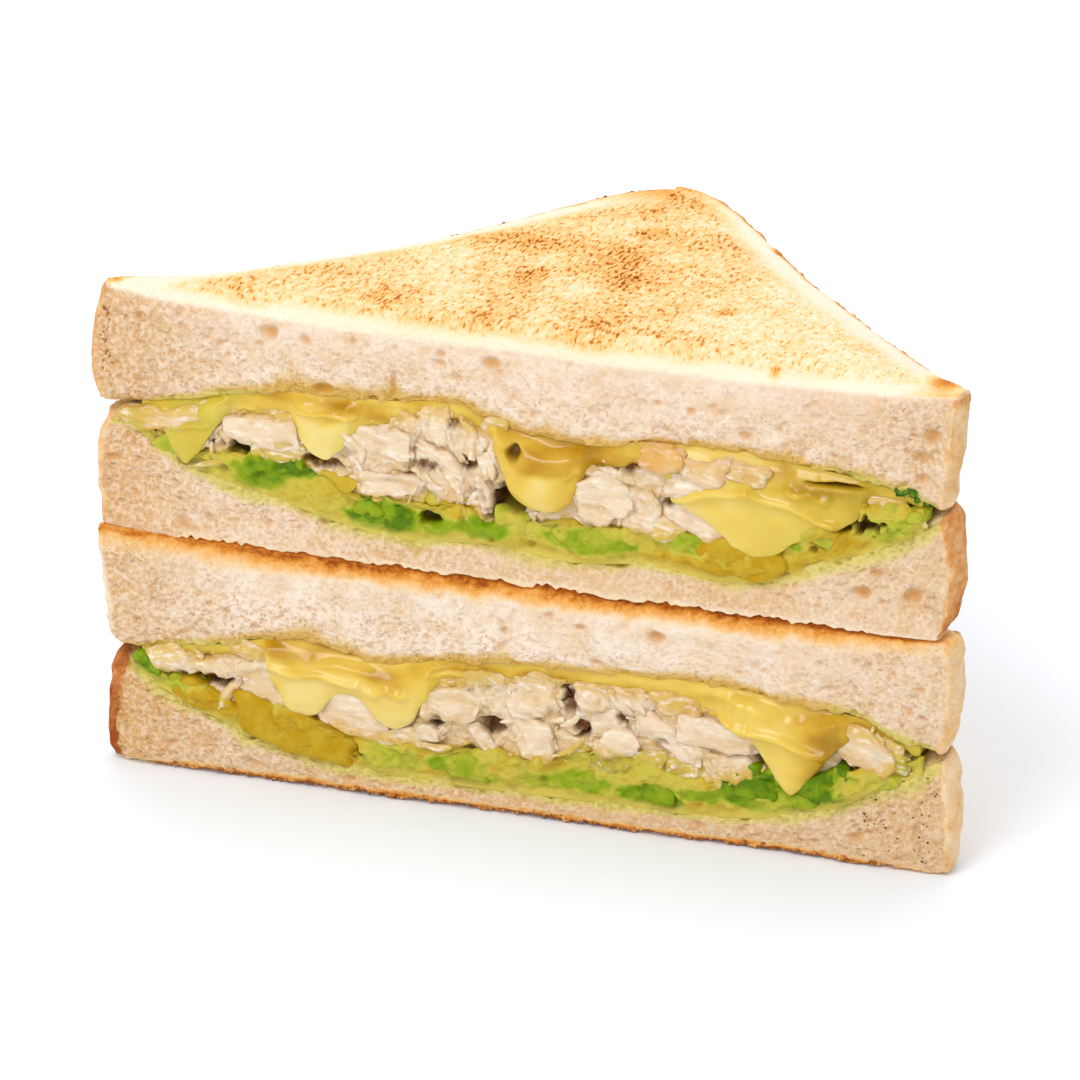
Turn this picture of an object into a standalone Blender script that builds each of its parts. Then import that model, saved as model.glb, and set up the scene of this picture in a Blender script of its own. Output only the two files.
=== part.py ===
"""A toasted sandwich, cut corner to corner, with its two halves stacked and the cut faces in front.

Each half is two slices of a thick white loaf round avocado mash, torn chicken and melted cheese.
In a half's own plan, x runs along the cut from the left tip to the right one, y goes back from the
cut to the loaf's square corner, and z is up from the toasted underside. The functions work in
millimetres, and mesh_object() turns them to metres.
"""

from dataclasses import dataclass

import bmesh
import bpy
import numpy as np
from mathutils import Vector

METRES = 0.001

# The loaf: what every slice shares.
HALF_CUT = 68.5  # from the middle of the cut to a tip
CORNER_DEPTH = 75.0  # from the cut to the loaf's square corner
TIP_DEPTH = 7.0  # the blunt crust at each tip
CORNER_ROUND = 8.5  # roundness of the square corner in plan
LEG_SINK = (3.8, 2.4)  # how far the crust sides cave in, left and right
LEG_SLANT = 1.42  # depth along y for each millimetre in from a crust side

# One half, from its underside.
BED_MIDDLE = 4.8  # the bottom slice where the filling has pressed it
BED_RIM = 18.8  # the same slice at its crust
LID_MIDDLE = 24.8  # underside of the top slice over the filling
LID_RIM = 20.3
TOP = 39.6  # the toasted top
PRESSED_REACH = 28.0  # from the crust in to the flat middle
RIM_DROP = (3.2, 1.8)  # how far the top slopes down to the crust, left and right
RIM_WIDTH = 12.0
CORNER_DROP = 0.45  # the share of that drop left at the square corner
UNDERSIDE_LIFT = 1.2  # the underside curls up at its crust
EDGE_ROUND = 6.0  # how far back from the cut the toasted face starts to round over

# How the halves lie.
STACK_GAP = 0.35
UPPER_SHIFT = -0.6  # the upper half lies this far along the lower one
UPPER_SETBACK = 2.2  # and this far back from its cut
UPPER_TURN = np.radians(0.9)  # and is turned a little, its left tip back
PLAN_CENTRE = Vector((-1.6, 37.15, 0.0))  # of the stack, over which the origin lies

# The filling.
FILL_HALF = 61.8
FILL_SHARE = 0.8  # of the depth to the crust that the filling takes, less FILL_INSET
FILL_INSET = 4.6
LAYER_GAP = 0.4  # between layers at the cut
HIDDEN_GAP = 0.09  # added to it further in, as a share of the filling's height there
CUT_REACH = 13.0  # how far in the shapes seen at the cut go on
CORE_FRONT = 4.5  # where the torn chicken's core starts behind the cut
LIP_FACES = (0.25, 0.6)  # where the cheese ends behind the cut between its tongues, front and back
TONGUE_CLEARANCE = 1.0  # in front of the cut
TONGUE_THICKNESS = 1.9

# Heights along the cut, as (x, z) pairs for one half: what the knife left showing.
CUT_LINES = {
    "upper": {
        "bed": [(-66, 16.8), (-60, 13.8), (-50, 9.3), (-40, 7.3), (-30, 5.0), (-20, 3.7), (-8, 4.9),
                (8, 3.9), (20, 5.2), (30, 4.2), (40, 5.3), (50, 9.8), (60, 14.4), (67, 18.6)],
        "lid": [(-68, 19.2), (-60, 20.3), (-50, 22.3), (-40, 24.3), (-22, 24.8), (-11, 26.0), (0, 22.8),
                (10, 22.3), (22, 24.2), (40, 24.0), (50, 23.0), (60, 21.4), (67, 19.6)],
        "mash": [(-64, 17.2), (-56, 13.4), (-46, 12.8), (-38, 13.4), (-30, 10.0), (-20, 9.8), (-12, 10.2),
                 (0, 9.6), (15, 9.4), (26, 10.2), (36, 9.4), (45, 13.2), (54, 18.2), (63, 19.2)],
        "meat": [(-64, 18.9), (-54, 20.4), (-40, 20.9), (-26, 21.6), (-14, 24.4), (-5, 22.4), (4, 20.2),
                 (12, 19.8), (22, 22.0), (32, 21.2), (50, 20.9), (63, 20.2)],
    },
    "lower": {
        "bed": [(-66, 17.6), (-60, 14.2), (-50, 10.0), (-40, 6.6), (-28, 5.0), (-10, 4.7), (10, 5.0),
                (28, 5.3), (40, 6.6), (50, 9.6), (60, 15.4), (67, 18.8)],
        "lid": [(-68, 19.6), (-60, 20.5), (-50, 21.6), (-40, 24.0), (-26, 22.2), (-10, 24.2), (5, 25.4),
                (30, 25.8), (45, 24.6), (55, 23.4), (61, 20.9), (67, 20.2)],
        "mash": [(-64, 17.9), (-55, 14.4), (-46, 12.4), (-38, 12.4), (-28, 10.4), (-18, 9.4), (-8, 10.2),
                 (2, 10.2), (12, 13.4), (22, 11.4), (30, 10.4), (40, 14.0), (52, 14.8), (63, 18.6)],
        "meat": [(-64, 19.3), (-54, 20.2), (-44, 21.8), (-30, 19.8), (-18, 20.6), (-6, 22.2), (6, 23.8),
                 (18, 23.4), (32, 22.0), (46, 21.6), (56, 21.8), (63, 19.9)],
    },
}

# Melted cheese hanging over the cut, as (middle x, half width left, half width right, lowest z).
TONGUES = {
    "upper": [(-56, 6.5, 6.0, 11.0), (-32.5, 5.0, 5.0, 14.4), (4, 7.0, 6.5, 10.8), (36.5, 12.0, 14.0, 8.6)],
    "lower": [(-37.0, 5.5, 6.0, 12.4), (-21.5, 5.5, 5.5, 12.4), (43.0, 8.5, 7.5, 10.6)],
}

# Chicken that shows at the cut, as (x, z, width, height, tilt in degrees, blockiness from 0 to 1).
CHICKEN = {
    "upper": [
        (-58.5, 17.9, 13.0, 3.2, 9, 0.2), (-43.0, 16.9, 16.0, 6.4, 5, 0.8), (-24.5, 16.6, 12.0, 7.2, -6, 0.4),
        (-22.5, 12.2, 13.5, 3.8, 7, 0.5), (-14.0, 20.9, 12.5, 7.2, 4, 0.2), (-12.0, 14.8, 10.5, 8.6, -34, 0.3),
        (-5.2, 18.4, 6.5, 6.4, 10, 0.2), (-2.6, 12.4, 6.0, 4.8, -25, 0.4), (12.4, 14.2, 9.0, 8.0, -8, 1.0),
        (15.0, 19.0, 6.0, 3.6, 0, 0.3), (19.4, 14.8, 7.6, 8.0, 20, 0.2), (20.6, 11.0, 8.5, 4.6, -5, 0.2),
        (27.4, 13.2, 11.0, 5.2, -10, 0.7), (23.5, 19.4, 10.0, 4.2, 4, 0.4), (42.0, 19.4, 9.0, 3.0, -4, 0.2),
    ],
    "lower": [
        (-53.8, 17.8, 15.0, 4.2, 3, 0.5), (-44.0, 16.6, 7.5, 7.6, 30, 0.2), (-40.6, 20.4, 8.0, 3.4, -6, 0.3),
        (-29.8, 13.8, 11.5, 5.6, -12, 0.6), (-20.4, 11.6, 8.5, 4.2, 4, 0.2), (-11.2, 17.8, 9.0, 7.6, -10, 0.3),
        (-6.6, 13.2, 3.2, 6.6, 14, 0.8), (-3.8, 18.6, 6.0, 5.2, 0, 0.3), (1.6, 14.0, 8.4, 7.4, 8, 0.2),
        (3.0, 20.4, 9.0, 6.4, 12, 0.2), (9.0, 19.2, 5.0, 6.0, -20, 0.2), (13.8, 17.6, 6.6, 5.0, 6, 0.8),
        (15.4, 21.6, 9.0, 3.4, 10, 0.3), (21.4, 19.0, 7.0, 4.6, -10, 0.3), (30.0, 18.8, 16.0, 4.4, -4, 0.6),
        (29.0, 14.2, 9.0, 5.0, 6, 0.2), (37.0, 15.2, 6.0, 4.6, -15, 0.3), (55.0, 18.6, 9.6, 5.4, -10, 0.3),
    ],
}

COLOURS = {
    "slice": (0.80, 0.62, 0.42, 0.85),
    "mash": (0.42, 0.45, 0.08, 0.45),
    "chicken": (0.82, 0.68, 0.52, 0.55),
    "cheese": (0.86, 0.63, 0.16, 0.25),
}


@dataclass(frozen=True)
class SliceForm:
    """Where a slice's tips end at its underside, middle and top, and how its toasted face falls."""

    left: tuple
    right: tuple
    front_fall: float
    seed: int


SLICES = {
    "upper_bottom_slice": SliceForm((69.6, 70.6, 69.3), (67.2, 68.6, 67.0), 0.3, 11),
    "upper_top_slice": SliceForm((70.4, 71.0, 69.0), (66.9, 68.0, 69.0), 2.8, 23),
    "lower_bottom_slice": SliceForm((68.2, 68.8, 67.2), (67.9, 68.4, 67.2), 0.4, 37),
    "lower_top_slice": SliceForm((68.2, 69.2, 70.6), (66.8, 68.3, 67.7), 2.4, 53),
}


def smooth(value):
    """Smoothstep: 0 below 0, 1 above 1, and an S curve between."""
    t = np.clip(value, 0.0, 1.0)
    return t * t * (3.0 - 2.0 * t)


def line_through(points, x):
    """Height at x on a smooth curve through (x, z) pairs, flat past its ends."""
    xs, zs = np.array(points, float).T
    slopes = np.gradient(zs, xs)
    x = np.clip(x, xs[0], xs[-1])
    k = np.clip(np.searchsorted(xs, x, side="right") - 1, 0, len(xs) - 2)
    width = xs[k + 1] - xs[k]
    t = (x - xs[k]) / width
    return (
        (2 * t**3 - 3 * t**2 + 1) * zs[k]
        + (t**3 - 2 * t**2 + t) * width * slopes[k]
        + (3 * t**2 - 2 * t**3) * zs[k + 1]
        + (t**3 - t**2) * width * slopes[k + 1]
    )


def noise(points, cell, seed):
    """Smooth lattice noise from -1 to 1 with lumps about one cell across."""
    scaled = np.asarray(points, float) / cell
    base = np.floor(scaled).astype(np.int64)
    part = scaled - base
    part = part * part * (3.0 - 2.0 * part)
    total = np.zeros(len(scaled))
    for corner in np.ndindex(2, 2, 2):
        at = base + np.array(corner)
        mixed = (at[:, 0] * 73856093) ^ (at[:, 1] * 19349663) ^ (at[:, 2] * 83492791) ^ (seed * 2654435761)
        mixed = (mixed & 0xFFFFFFFF) * 2246822519 & 0xFFFFFFFF
        mixed = (mixed ^ (mixed >> 15)) * 3266489917 & 0xFFFFFFFF
        value = ((mixed ^ (mixed >> 13)) & 0xFFFF) / 32767.5 - 1.0
        weight = np.prod(np.where(np.array(corner) == 1, part, 1.0 - part), axis=1)
        total += value * weight
    return total


def leg_depth(x):
    """How far the crust lies behind the cut at each x."""
    across = np.minimum(np.abs(x), HALF_CUT)
    slope = (CORNER_DEPTH - TIP_DEPTH) / (np.hypot(HALF_CUT, CORNER_ROUND) - CORNER_ROUND)
    straight = CORNER_DEPTH + slope * CORNER_ROUND - slope * np.hypot(across, CORNER_ROUND)
    sink = np.where(x < 0, LEG_SINK[0], LEG_SINK[1])
    return straight - sink * np.sin(np.pi * across / HALF_CUT) ** 2


def crust_distance(x, y):
    """How far in from the nearer crust side a point lies."""
    return np.maximum(leg_depth(x) - y, 0.0) / LEG_SLANT


def at_the_cut(y):
    """1 at the cut, falling to 0 further in."""
    return np.exp(-((y / CUT_REACH) ** 2))


def bed(half, x, y):
    """Top of the bottom slice: thick at the crust, pressed thin under the filling."""
    def deep(along, back):
        pressed = smooth(crust_distance(along, back) / PRESSED_REACH)
        return BED_RIM + (BED_MIDDLE - BED_RIM) * pressed

    seen = line_through(CUT_LINES[half]["bed"], x) - deep(x, np.zeros_like(x))
    return deep(x, y) + seen * at_the_cut(y)


def lid(half, x, y):
    """Underside of the top slice, domed over the filling."""
    def deep(along, back):
        domed = smooth(crust_distance(along, back) / PRESSED_REACH)
        return LID_RIM + (LID_MIDDLE - LID_RIM) * domed

    seen = line_through(CUT_LINES[half]["lid"], x) - deep(x, np.zeros_like(x))
    return deep(x, y) + seen * at_the_cut(y)


def layer_top(half, layer, x, y, share):
    """Top of a filling layer: its own line at the cut, and a share of the filling's height further in."""
    low, high = bed(half, x, y), lid(half, x, y)
    cut_low, cut_high = bed(half, x, 0.0 * x), lid(half, x, 0.0 * x)
    cut_share = (line_through(CUT_LINES[half][layer], x) - cut_low) / (cut_high - cut_low)
    return low + (high - low) * (share + (cut_share - share) * at_the_cut(y))


def mash_top(half, x, y):
    """Top of the avocado mash."""
    return layer_top(half, "mash", x, y, 0.36)


def meat_top(half, x, y):
    """Top of the chicken, under the cheese."""
    return layer_top(half, "meat", x, y, 0.78)


def gap(half, x, y):
    """Half the space kept between layers: narrow at the cut, wider where it can't be seen."""
    hidden = HIDDEN_GAP * (lid(half, x, y) - bed(half, x, y)) - 0.05
    return 0.5 * (LAYER_GAP + hidden * smooth(y / 8.0))


def top_face(x, y, seed):
    """The toasted top: flat in the middle, sloping down to the crust sides."""
    drop = np.where(x < 0, RIM_DROP[0], RIM_DROP[1]) * smooth(1.0 - crust_distance(x, y) / RIM_WIDTH)
    drop = drop * (1.0 - (1.0 - CORNER_DROP) * smooth(y / CORNER_DEPTH * 2.0 - 1.0))
    spots = np.stack([x, y, 0.0 * x], axis=-1)
    sag = 0.35 * (1.0 + noise(spots, 24.0, seed))
    return TOP - drop * smooth(y / 16.0) - sag * smooth(y / 30.0)


def underside(x, y):
    """The toasted underside: a true flat that curls up near the crust."""
    return UNDERSIDE_LIFT * smooth(1.0 - crust_distance(x, y) / 7.0) * smooth(y / 10.0)


def rounding(distance, radius, fall):
    """How far a rounded edge falls away at a distance from it."""
    return fall * np.clip(1.0 - distance / radius, 0.0, 1.0) ** 2


def stations(row, rows, depth, edge):
    """Depth of a grid's row: a short step at the cut and at the crust, and even steps between."""
    short = np.minimum(edge, 0.25 * depth)
    even = short + (depth - 2.0 * short) * (row - 1.0) / (rows - 2.0)
    return np.where(row < 1, 0.0, np.where(row > rows - 1, depth, even))


def row_of(share, rows):
    """The row's number for a grid coordinate from -1 to 1."""
    return np.round(0.5 * rows * (share + 1.0))


def box_grid(cells):
    """A cube primitive from -1 to 1, its faces cut into that many cells along x, y and z."""
    bm = bmesh.new()
    bmesh.ops.create_cube(bm, size=2.0)
    for axis, count in enumerate(cells):
        across = Vector([float(axis == k) for k in range(3)])
        for step in range(1, count):
            place = across * (2.0 * step / count - 1.0)
            whole = bm.verts[:] + bm.edges[:] + bm.faces[:]
            bmesh.ops.bisect_plane(bm, geom=whole, dist=1e-6, plane_co=place, plane_no=across)
    return bm


def grid_points(bm):
    """The vertices of a bmesh as an array."""
    return np.array([v.co[:] for v in bm.verts])


def mesh_object(name, bm, points, kind, collection, parent=None):
    """Turns a bmesh with new points, in millimetres, into an object with its own material."""
    for vertex, point in zip(bm.verts, points):
        vertex.co = Vector(point) * METRES
    bmesh.ops.triangulate(bm, faces=bm.faces[:], quad_method="FIXED")
    mesh = bpy.data.meshes.new(name)
    bm.to_mesh(mesh)
    bm.free()
    mesh.materials.append(material(name, kind))
    mesh.shade_smooth()
    obj = bpy.data.objects.new(name, mesh)
    collection.objects.link(obj)
    obj.parent = parent
    return obj


def material(name, kind):
    """A plain Principled material in the food's own colour."""
    made = bpy.data.materials.new(name)
    made.use_nodes = True
    shader = made.node_tree.nodes["Principled BSDF"]
    red, green, blue, roughness = COLOURS[kind]
    shader.inputs["Base Color"].default_value = (red, green, blue, 1.0)
    shader.inputs["Roughness"].default_value = roughness
    shader.inputs["Metallic"].default_value = 0.0
    return made


def tip_reach(form, share):
    """A slice's tips at a share of its height: left and right, as curves through three values."""
    def through(low, middle, high):
        return low + share * (4 * middle - 3 * low - high) + share**2 * (2 * low + 2 * high - 4 * middle)

    return through(*form.left), through(*form.right)


def bread_slice(name, half, on_top, collection, parent):
    """One slice: crumb at the cut, toasted faces, and crust round the two legs and the blunt tips."""
    form = SLICES[name]
    rows = 8
    bm = box_grid((24, rows, 3))
    u, v, w = grid_points(bm).T
    height = 0.5 * (w + 1.0)
    left, right = tip_reach(form, height)
    x = u * np.where(u < 0, left, right)
    depth = leg_depth(x)
    y = stations(row_of(v, rows), rows, depth, 3.0)
    if on_top:
        low, high = lid(half, x, y), top_face(x, y, form.seed)
    else:
        low, high = underside(x, y), bed(half, x, y)
    to_tip = np.where(u < 0, left, right) - np.abs(x)
    across = 1.0 - 0.7 * (x / HALF_CUT) ** 4
    toasted = np.maximum(rounding(y, EDGE_ROUND, form.front_fall * across), rounding(depth - y, 5.0, 1.2))
    toasted = np.maximum(toasted, rounding(to_tip, 3.0, 0.5))
    inner = np.maximum(rounding(np.minimum(depth - y, y), 2.0, 0.6), rounding(to_tip, 3.0, 0.4))
    low_round, high_round = (inner, toasted) if on_top else (0.5 * toasted, inner)
    low, high = low + low_round, high - high_round
    z = low + height * (high - low)
    to_face = np.minimum(height, 1.0 - height) * (high - low)
    crumb = np.stack([x, y, z], axis=-1)
    wave = 0.35 * noise(crumb, 9.0, form.seed + 1)
    front, back = smooth(1.0 - y / 6.0), smooth(1.0 - (depth - y) / 6.0)
    y = y + (rounding(to_face, 3.0, 0.7) + wave) * front - rounding(to_face, 4.0, 1.3) * back
    bulge = 1.1 * np.sin(np.pi * np.clip(y / TIP_DEPTH, 0.0, 1.0)) - rounding(to_face, 3.0, 0.5)
    x = x + np.sign(u) * smooth((np.abs(u) - 0.85) / 0.15) * bulge
    points = np.stack([x, y, z], axis=-1)
    return mesh_object(name, bm, points, "slice", collection, parent)


def filling_plan(u, row, rows):
    """Plan place of a filling's grid: x for u, and y for a row of so many."""
    x = u * FILL_HALF
    depth = leg_depth(x) * FILL_SHARE - FILL_INSET
    return x, stations(row, rows, depth, 5.0)


def mash(half, collection, parent):
    """The avocado mash, running through the half, with lumps at the cut."""
    rows = 5
    bm = box_grid((28, rows, 2))
    u, v, w = grid_points(bm).T
    x, y = filling_plan(u, row_of(v, rows), rows)
    low, high = bed(half, x, y) + gap(half, x, y), mash_top(half, x, y) - gap(half, x, y)
    z = low + 0.5 * (w + 1.0) * (high - low)
    lumps = noise(np.stack([x, y, z], axis=-1), 6.0, 71 + len(half))
    y = y + (0.25 + 0.6 * lumps) * smooth(1.0 - y / 4.0)
    return mesh_object(half + "_avocado", bm, np.stack([x, y, z], axis=-1), "mash", collection, parent)


def tongue_length(half, x, start):
    """How far the cheese hangs below its plate at each x."""
    length = np.full_like(x, 0.3)
    for middle, left, right, lowest in TONGUES[half]:
        across = np.abs(x - middle) / np.where(x < middle, left, right)
        hang = (start - lowest) * np.clip(1.0 - across**1.7, 0.0, 1.0) ** 0.85
        length = np.maximum(length, hang)
    return length


def cheese(half, collection, parent):
    """The melted cheese: a plate under the top slice, and the tongues that hang over the cut."""
    plate_rows, lip_rows = 3, 4
    bm = box_grid((40, plate_rows + lip_rows, 1))
    u, v, w = grid_points(bm).T
    row = row_of(-v, plate_rows + lip_rows)  # from the back to the cut, and on to the lip
    hang = np.clip((row - plate_rows) / lip_rows, 0.0, 1.0)
    x, y = filling_plan(u, np.maximum(plate_rows - row, 0.0), plate_rows)
    y = np.maximum(y, 1.0)
    low, high = meat_top(half, x, y) + gap(half, x, y), lid(half, x, y) - gap(half, x, y)
    length = tongue_length(half, x, low)
    tip = low - length
    outer = w > 0
    hanging = smooth(length / 3.0)
    lip = np.where(outer, LIP_FACES[0] - (LIP_FACES[0] + TONGUE_CLEARANCE + TONGUE_THICKNESS) * hanging,
                   LIP_FACES[1] - (LIP_FACES[1] + TONGUE_CLEARANCE) * hanging)
    turned = smooth(hang * np.where(outer, 1.6, 2.4))
    y = y + (lip - y) * turned
    start = np.where(outer, high, low)
    z = start + (tip - start) * hang ** np.where(outer, 1.3, 1.15) - 0.5 * outer * hang
    return mesh_object(half + "_cheese", bm, np.stack([x, y, z], axis=-1), "cheese", collection, parent)


def chicken_piece(half, number, place, collection):
    """One torn piece at the cut: a rough ellipsoid or block, held between the mash and the cheese."""
    x0, z0, width, height, tilt, blocky = place
    bm = bmesh.new()
    bmesh.ops.create_icosphere(bm, subdivisions=2, radius=1.0)
    ball = grid_points(bm)
    power = 1.0 + 5.0 * blocky
    ball = ball / (np.abs(ball) ** power).sum(axis=1, keepdims=True) ** (1.0 / power) * (1.0 - 0.15 * blocky)
    ball = ball * (1.0 + 0.16 * noise(ball * 10.0, 7.0, 200 + number)[:, None])
    along, back, up = ball[:, 0] * width / 2, ball[:, 1] * 7.0, ball[:, 2] * height / 2
    turn = np.radians(tilt)
    x = x0 + along * np.cos(turn) - up * np.sin(turn)
    z = z0 + along * np.sin(turn) + up * np.cos(turn)
    y = np.maximum(4.4 + back, 0.35 + 0.07 * (number % 5) + 0.25 * noise(ball * 10.0, 4.0, 300 + number))
    margin = gap(half, x, y) + 0.12
    low, high = mash_top(half, x, y) + margin, meat_top(half, x, y) - margin
    middle, room = 0.5 * (low + high), np.maximum(0.5 * (high - low), 0.3)
    squeezed = (z - middle) / room
    z = middle + room * squeezed / (1.0 + np.abs(squeezed) ** 4) ** 0.25
    points = np.stack([x, y, z], axis=-1)
    return mesh_object(f"piece_{half}_{number}", bm, points, "chicken", collection)


def chicken(half, collection, parent):
    """The chicken: a core between mash and cheese, with the torn pieces that show fused on."""
    rows = 4
    bm = box_grid((20, rows, 1))
    u, v, w = grid_points(bm).T
    x, y = filling_plan(u * 0.96, row_of(v, rows), rows)
    y = np.maximum(y, CORE_FRONT * smooth(leg_depth(x) / 20.0))
    margin = gap(half, x, y) + 0.12
    low, high = mash_top(half, x, y) + margin, meat_top(half, x, y) - margin
    z = low + 0.5 * (w + 1.0) * (high - low)
    core = mesh_object(half + "_chicken", bm, np.stack([x, y, z], axis=-1), "chicken", collection)
    pieces = bpy.data.collections.new(half + "_chicken_pieces")
    bpy.context.scene.collection.children.link(pieces)
    for number, place in enumerate(CHICKEN[half]):
        chicken_piece(half, number, place, pieces)
    fuse(core, pieces)
    core.parent = parent
    return core


def fuse(core, pieces):
    """Joins a collection's pieces to a core as one closed solid, and removes them."""
    join = core.modifiers.new("join", "BOOLEAN")
    join.operation = "UNION"
    join.operand_type = "COLLECTION"
    join.collection = pieces
    join.solver = "MANIFOLD"
    evaluated = core.evaluated_get(bpy.context.evaluated_depsgraph_get())
    joined = bpy.data.meshes.new_from_object(evaluated)
    core.modifiers.clear()
    core.data = joined
    for piece in list(pieces.objects):
        bpy.data.objects.remove(piece)
    bpy.data.collections.remove(pieces)
    keep_outer_shell(joined)


def keep_outer_shell(mesh):
    """Drops loose scraps and sealed hollows, leaving the one outer shell."""
    bm = bmesh.new()
    bm.from_mesh(mesh)
    bmesh.ops.remove_doubles(bm, verts=bm.verts[:], dist=1e-7)
    bmesh.ops.triangulate(bm, faces=bm.faces[:])
    left = set(bm.faces)
    shells = []
    while left:
        shell, edge = set(), [left.pop()]
        while edge:
            face = edge.pop()
            shell.add(face)
            near = {other for side in face.edges for other in side.link_faces} & left
            left -= near
            edge.extend(near)
        shells.append(shell)
    biggest = max(shells, key=len)
    bmesh.ops.delete(bm, geom=[f for f in bm.faces if f not in biggest], context="FACES")
    bm.to_mesh(mesh)
    bm.free()


def half_sandwich(half, collection):
    """One half with its slices and filling, carried on an empty at its own base."""
    base = bpy.data.objects.new(half + "_half", None)
    collection.objects.link(base)
    bread_slice(half + "_bottom_slice", half, False, collection, base)
    mash(half, collection, base)
    chicken(half, collection, base)
    cheese(half, collection, base)
    bread_slice(half + "_top_slice", half, True, collection, base)
    return base


def main():
    for obj in list(bpy.data.objects):
        bpy.data.objects.remove(obj)
    collection = bpy.data.collections.new("toasted_sandwich")
    bpy.context.scene.collection.children.link(collection)
    lower = half_sandwich("lower", collection)
    upper = half_sandwich("upper", collection)
    lower.location = -PLAN_CENTRE * METRES
    upper.location = (Vector((UPPER_SHIFT, UPPER_SETBACK, TOP + STACK_GAP)) - PLAN_CENTRE) * METRES
    upper.rotation_euler.z = -UPPER_TURN


main()
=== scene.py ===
"""A toasted sandwich, cut corner to corner and stacked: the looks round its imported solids.

Shapes are worked out in one half's own plan, in millimetres: x along the cut from the left tip to
the right one, y back from the cut to the loaf's square corner, and z up from that half's toasted
underside. Half.world() takes them to the frame's metres.
"""

import logging
from dataclasses import dataclass, field
from enum import Enum

import bpy
import numpy as np
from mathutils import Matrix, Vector
from mathutils.bvhtree import BVHTree


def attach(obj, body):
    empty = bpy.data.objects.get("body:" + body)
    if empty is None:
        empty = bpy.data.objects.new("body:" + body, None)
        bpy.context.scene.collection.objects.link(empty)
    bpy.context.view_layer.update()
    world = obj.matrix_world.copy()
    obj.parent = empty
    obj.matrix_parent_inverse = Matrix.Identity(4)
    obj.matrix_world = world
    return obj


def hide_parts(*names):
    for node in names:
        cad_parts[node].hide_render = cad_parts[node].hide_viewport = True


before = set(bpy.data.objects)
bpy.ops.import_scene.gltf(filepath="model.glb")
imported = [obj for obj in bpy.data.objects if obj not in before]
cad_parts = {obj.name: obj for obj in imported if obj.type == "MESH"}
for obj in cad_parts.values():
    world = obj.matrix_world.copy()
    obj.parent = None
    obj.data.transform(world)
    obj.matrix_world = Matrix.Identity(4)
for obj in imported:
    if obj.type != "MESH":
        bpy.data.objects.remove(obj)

METRES = 0.001
LOG = logging.getLogger("toasted_sandwich")

# ---------------------------------------------------------------- the loaf and the stack, as packed

HALF_CUT = 68.5  # from the middle of the cut to a tip
CORNER_DEPTH = 75.0  # from the cut to the loaf's square corner
TIP_DEPTH = 7.0  # the blunt crust at each tip
CORNER_ROUND = 8.5  # roundness of the square corner in plan
LEG_SINK = (3.8, 2.4)  # how far the crust sides cave in, left and right
LEG_SLANT = 1.42  # depth along y for each millimetre in from a crust side

BED_MIDDLE, BED_RIM = 4.8, 18.8  # top of the bottom slice, pressed and at its crust
LID_MIDDLE, LID_RIM = 24.8, 20.3  # underside of the top slice
TOP = 39.6  # of the toasted top
PRESSED_REACH = 28.0  # from the crust in to the flat middle
RIM_DROP = (3.2, 1.8)  # how far the top slopes down to the crust, left and right
RIM_WIDTH = 12.0  # how wide that slope is
CORNER_DROP = 0.45  # the share of that drop left at the square corner
CORNER_START = 0.5  # the share of the depth from which the drop fades to that
TOP_START, SAG_START = 16.0, 30.0  # how far behind the cut the drop and the sag are whole
SAG, SAG_CELL = 0.35, 24.0  # how deep the toasted top sags, and its lumps' size
UNDERSIDE_LIFT = 1.2  # how far the underside curls up at its crust
CURL_WIDTH, CURL_START = 7.0, 10.0  # over this width, from this far behind the cut
EDGE_ROUND = 6.0  # how far back from the cut the toasted face starts to round over
EDGE_TAPER = 0.7  # how much less it falls at the tips
# Rounded edges, each by its radius and its fall.
CRUST_EDGE, TIP_EDGE = (5.0, 1.2), (3.0, 0.5)  # of the toasted face at the crust and the tips
INNER_EDGE, INNER_TIP = (2.0, 0.6), (3.0, 0.4)  # of the inner face at the cut and crust, and the tips
CUT_EDGE, CRUST_BULGE = (3.0, 0.7), (4.0, 1.3)  # of the cut and of the crust at both faces
FORM_REACH = 6.0  # how far in from the cut and the crust those two go
CUT_WAVE, CUT_WAVE_CELL = 0.35, 9.0  # how the knife wandered
TIP_BULGE = 1.1  # how far a tip's crust stands out
TIP_SHARE = 0.15  # of a half's length that the bulge takes

STACK_GAP = 0.35  # how far the upper half's underside stands over the lower one's top
UPPER_SHIFT = -0.6  # how far to the side the upper half lies
UPPER_SETBACK = 2.2  # how far its cut stands behind the lower one's
UPPER_TURN = np.radians(0.9)  # how far it is turned, clockwise from above
PLAN_CENTRE = (-1.6, 37.15)  # where the frame's origin lies in the lower half's plan

FILL_HALF = 64.0  # from the middle of the cut to the ends of the fillings
MASH_REACH = 14.0  # how far in the avocado's lumps go
MASH_OVERLAP = 0.9  # how far it presses into the bread under it, and the least it stands over it
FILM = 0.35  # the cheese where it is only a film
GAP_DEPTH = 4.4  # how far in a gap between the pieces of chicken goes
CORE_LOOP, CORE_STATIONS = (56, 12, 4, 12), 400  # points round the heap behind them, and along it
CORE_INSET, CORE_LEAST = 5.0, 5.5  # how far short of its share of the depth it stops; the least it goes
# Lowest and highest draw for a loose scrap: x, height share, tilt, half length, bend, width, front.
SCRAP_DRAWS = ((-57.0, -0.05, -1.4, 0.7, -0.9, 0.5, -0.1), (59.0, 1.0, 1.4, 2.2, 0.9, 1.5, 1.3))
FILL_SHARE, FILL_INSET = 0.8, 4.6  # of the depth to the crust that a filling takes, less this
CUT_REACH = 13.0  # how far in the shapes seen at the cut go on
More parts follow.
